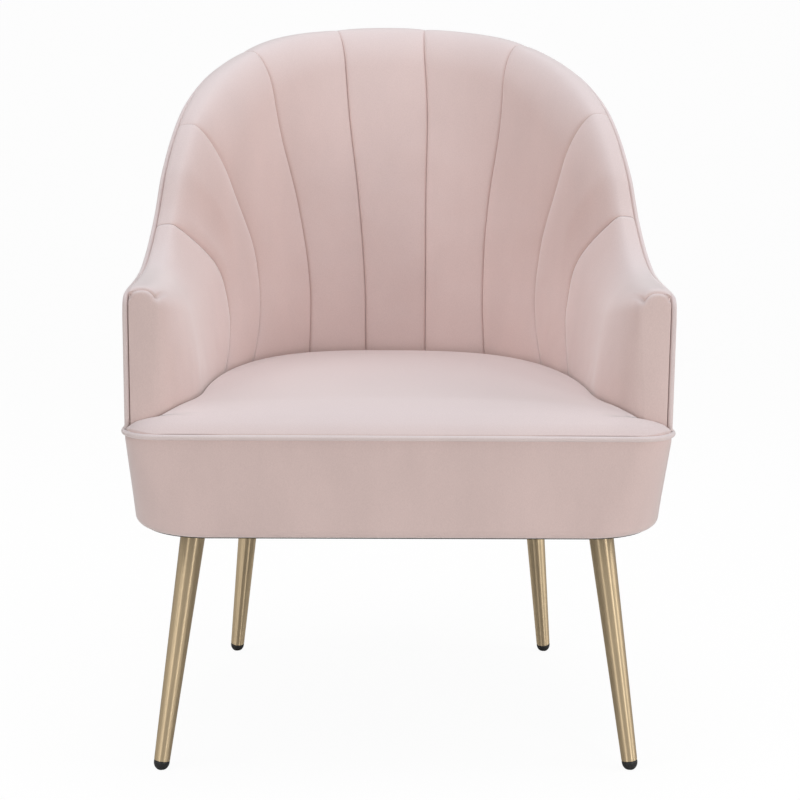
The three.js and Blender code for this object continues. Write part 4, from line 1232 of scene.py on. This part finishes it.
class CHAIR_OT_stage(bpy.types.Operator):
    """Builds the seamless floor, the soft light and the camera"""

    bl_idname = "chair.stage"
    bl_label = "Studio"

    def execute(self, context):
        stage = context.scene.chair_stage
        context.scene.view_settings.view_transform = "Standard"
        self.floor(stage)
        self.world(stage)
        self.lamp("key_light", (0.1, 0, 3.0), (1.6, 1.6), stage.key)
        self.lamp("right_box", (2.4, -0.6, 1.6), (1.2, 1.2), stage.boxes)
        self.lamp("left_box", (-1.8, -1.0, 2.5), (1.2, 1.2), stage.boxes * 0.85)
        self.lamp("right_strip", (1.4, -2.1, 0.45), (0.4, 0.8), stage.strips)
        self.lamp("left_strip", (-1.3, -2.1, 0.45), (0.4, 0.8), stage.strips * 0.55)
        self.camera(context, stage)
        return {"FINISHED"}

    def floor(self, stage):
        reach, rear, bend, top = 6, 3, 1.2, 5
        rows = [(y, 0) for y in steps(6, -reach, rear)]
        rows += [(rear + bend * sin(a), bend * (1 - cos(a))) for a in quarter(12)[1:]] + [(rear + bend, top)]
        points = [Vector((x, y, z)) for y, z in rows for x in steps(12, -reach, reach)]
        faces = quads([range(start, start + 13) for start in range(0, len(points), 13)])
        mesh = bpy.data.meshes.new("seamless_floor")
        mesh.from_pydata(points, [], faces)
        mesh.polygons.foreach_set("use_smooth", [True] * len(mesh.polygons))
        material, tree, shader = new_material("studio_paper")
        color = stage.floor_color
        tone = ramp(tree, grain(tree, (1, 1, 1), 3, 2), 0.3, 0.7, shade(color, 0.985), shade(color, 1))
        fill(tree, shader, {"Base Color": tone, "Roughness": 0.95})
        white = add_node(tree, "ShaderNodeEmission", {"Strength": 1.03})
        surface = camera_ray_mix(tree, shader.outputs[0], white.outputs[0], 0.92)
        fill(tree, tree.nodes["Material Output"], {"Surface": surface})
        mesh.materials.append(material)
        add_object("seamless_floor", mesh)

    def world(self, stage):
        world = bpy.data.worlds.new("studio_room")
        bpy.context.scene.world = world
        world.use_nodes = True
        tree = world.node_tree
        white = {"Color": (1, 1, 1, 1)}
        glossy = add_node(tree, "ShaderNodeLightPath").outputs["Is Glossy Ray"]
        inputs = {0: glossy, 1: stage.shine, 2: stage.sky}
        strength = add_node(tree, "ShaderNodeMath", inputs, operation="MULTIPLY_ADD").outputs[0]
        room = fill(tree, tree.nodes["Background"], {**white, "Strength": strength})
        seen = add_node(tree, "ShaderNodeBackground", white)
        surface = camera_ray_mix(tree, room.outputs[0], seen.outputs[0], 1)
        fill(tree, tree.nodes["World Output"], {"Surface": surface})

    def lamp(self, name, place, size, power):
        lamp = bpy.data.lights.new(name, "AREA")
        lamp.shape = "RECTANGLE"
        lamp.size, lamp.size_y = size
        lamp.energy = power
        made = add_object(name, lamp)
        made.location = place
        made.rotation_euler = (Vector((0, 0, 0.5)) - Vector(place)).to_track_quat("-Z", "Y").to_euler()

    def camera(self, context, stage):
        yaw, pitch, roll = (radians(angle) for angle in CAMERA_TURNS)
        camera = bpy.data.cameras.new("photo_view")
        camera.lens = stage.lens
        camera.sensor_width = 36
        camera.sensor_fit = "HORIZONTAL"
        context.scene.camera = add_object("photo_view", camera)
        turned = Matrix.Rotation(-yaw, 4, "Z") @ Matrix.Rotation(pi / 2 - pitch, 4, "X") @ Matrix.Rotation(roll, 4, "Z")
        context.scene.camera.matrix_world = Matrix.Translation(CAMERA_PLACE) @ turned


class CHAIR_PT_panel(bpy.types.Panel):
    """Lists the chair's settings and the steps that build it"""

    bl_idname = "CHAIR_PT_panel"
    bl_label = "Accent chair"
    bl_space_type = "VIEW_3D"
    bl_region_type = "UI"
    bl_category = "Chair"

    def draw(self, context):
        layout = self.layout
        for group in (context.scene.chair_cover, context.scene.chair_legs, context.scene.chair_stage):
            box = layout.box()
            for name in group.bl_rna.properties.keys():
                if name not in ("rna_type", "name"):
                    box.prop(group, name)
        for operator in OPERATORS:
            layout.operator(operator.bl_idname)


OPERATORS = (
    CHAIR_OT_back_channels, CHAIR_OT_arm_pads, CHAIR_OT_outside_cover, CHAIR_OT_base_band, CHAIR_OT_piping,
    CHAIR_OT_seat, CHAIR_OT_legs, CHAIR_OT_inner_pieces, CHAIR_OT_stage,
)
CLASSES = (ChairCoverSettings, ChairLegSettings, ChairStageSettings, *OPERATORS, CHAIR_PT_panel)


def register():
    for cls in CLASSES:
        bpy.utils.register_class(cls)
    bpy.types.Scene.chair_cover = bpy.props.PointerProperty(type=ChairCoverSettings)
    bpy.types.Scene.chair_legs = bpy.props.PointerProperty(type=ChairLegSettings)
    bpy.types.Scene.chair_stage = bpy.props.PointerProperty(type=ChairStageSettings)


def unregister():
    for name in ("chair_cover", "chair_legs", "chair_stage"):
        delattr(bpy.types.Scene, name)
    for cls in reversed(CLASSES):
        bpy.utils.unregister_class(cls)


def main():
    register()
    bpy.ops.chair.back_channels()
    bpy.ops.chair.arm_pads()
    bpy.ops.chair.outside_cover()
    bpy.ops.chair.base_band()
    bpy.ops.chair.piping()
    bpy.ops.chair.seat()
    bpy.ops.chair.legs()
    bpy.ops.chair.inner_pieces()
    bpy.ops.chair.stage()


if __name__ == "__main__":
    main()
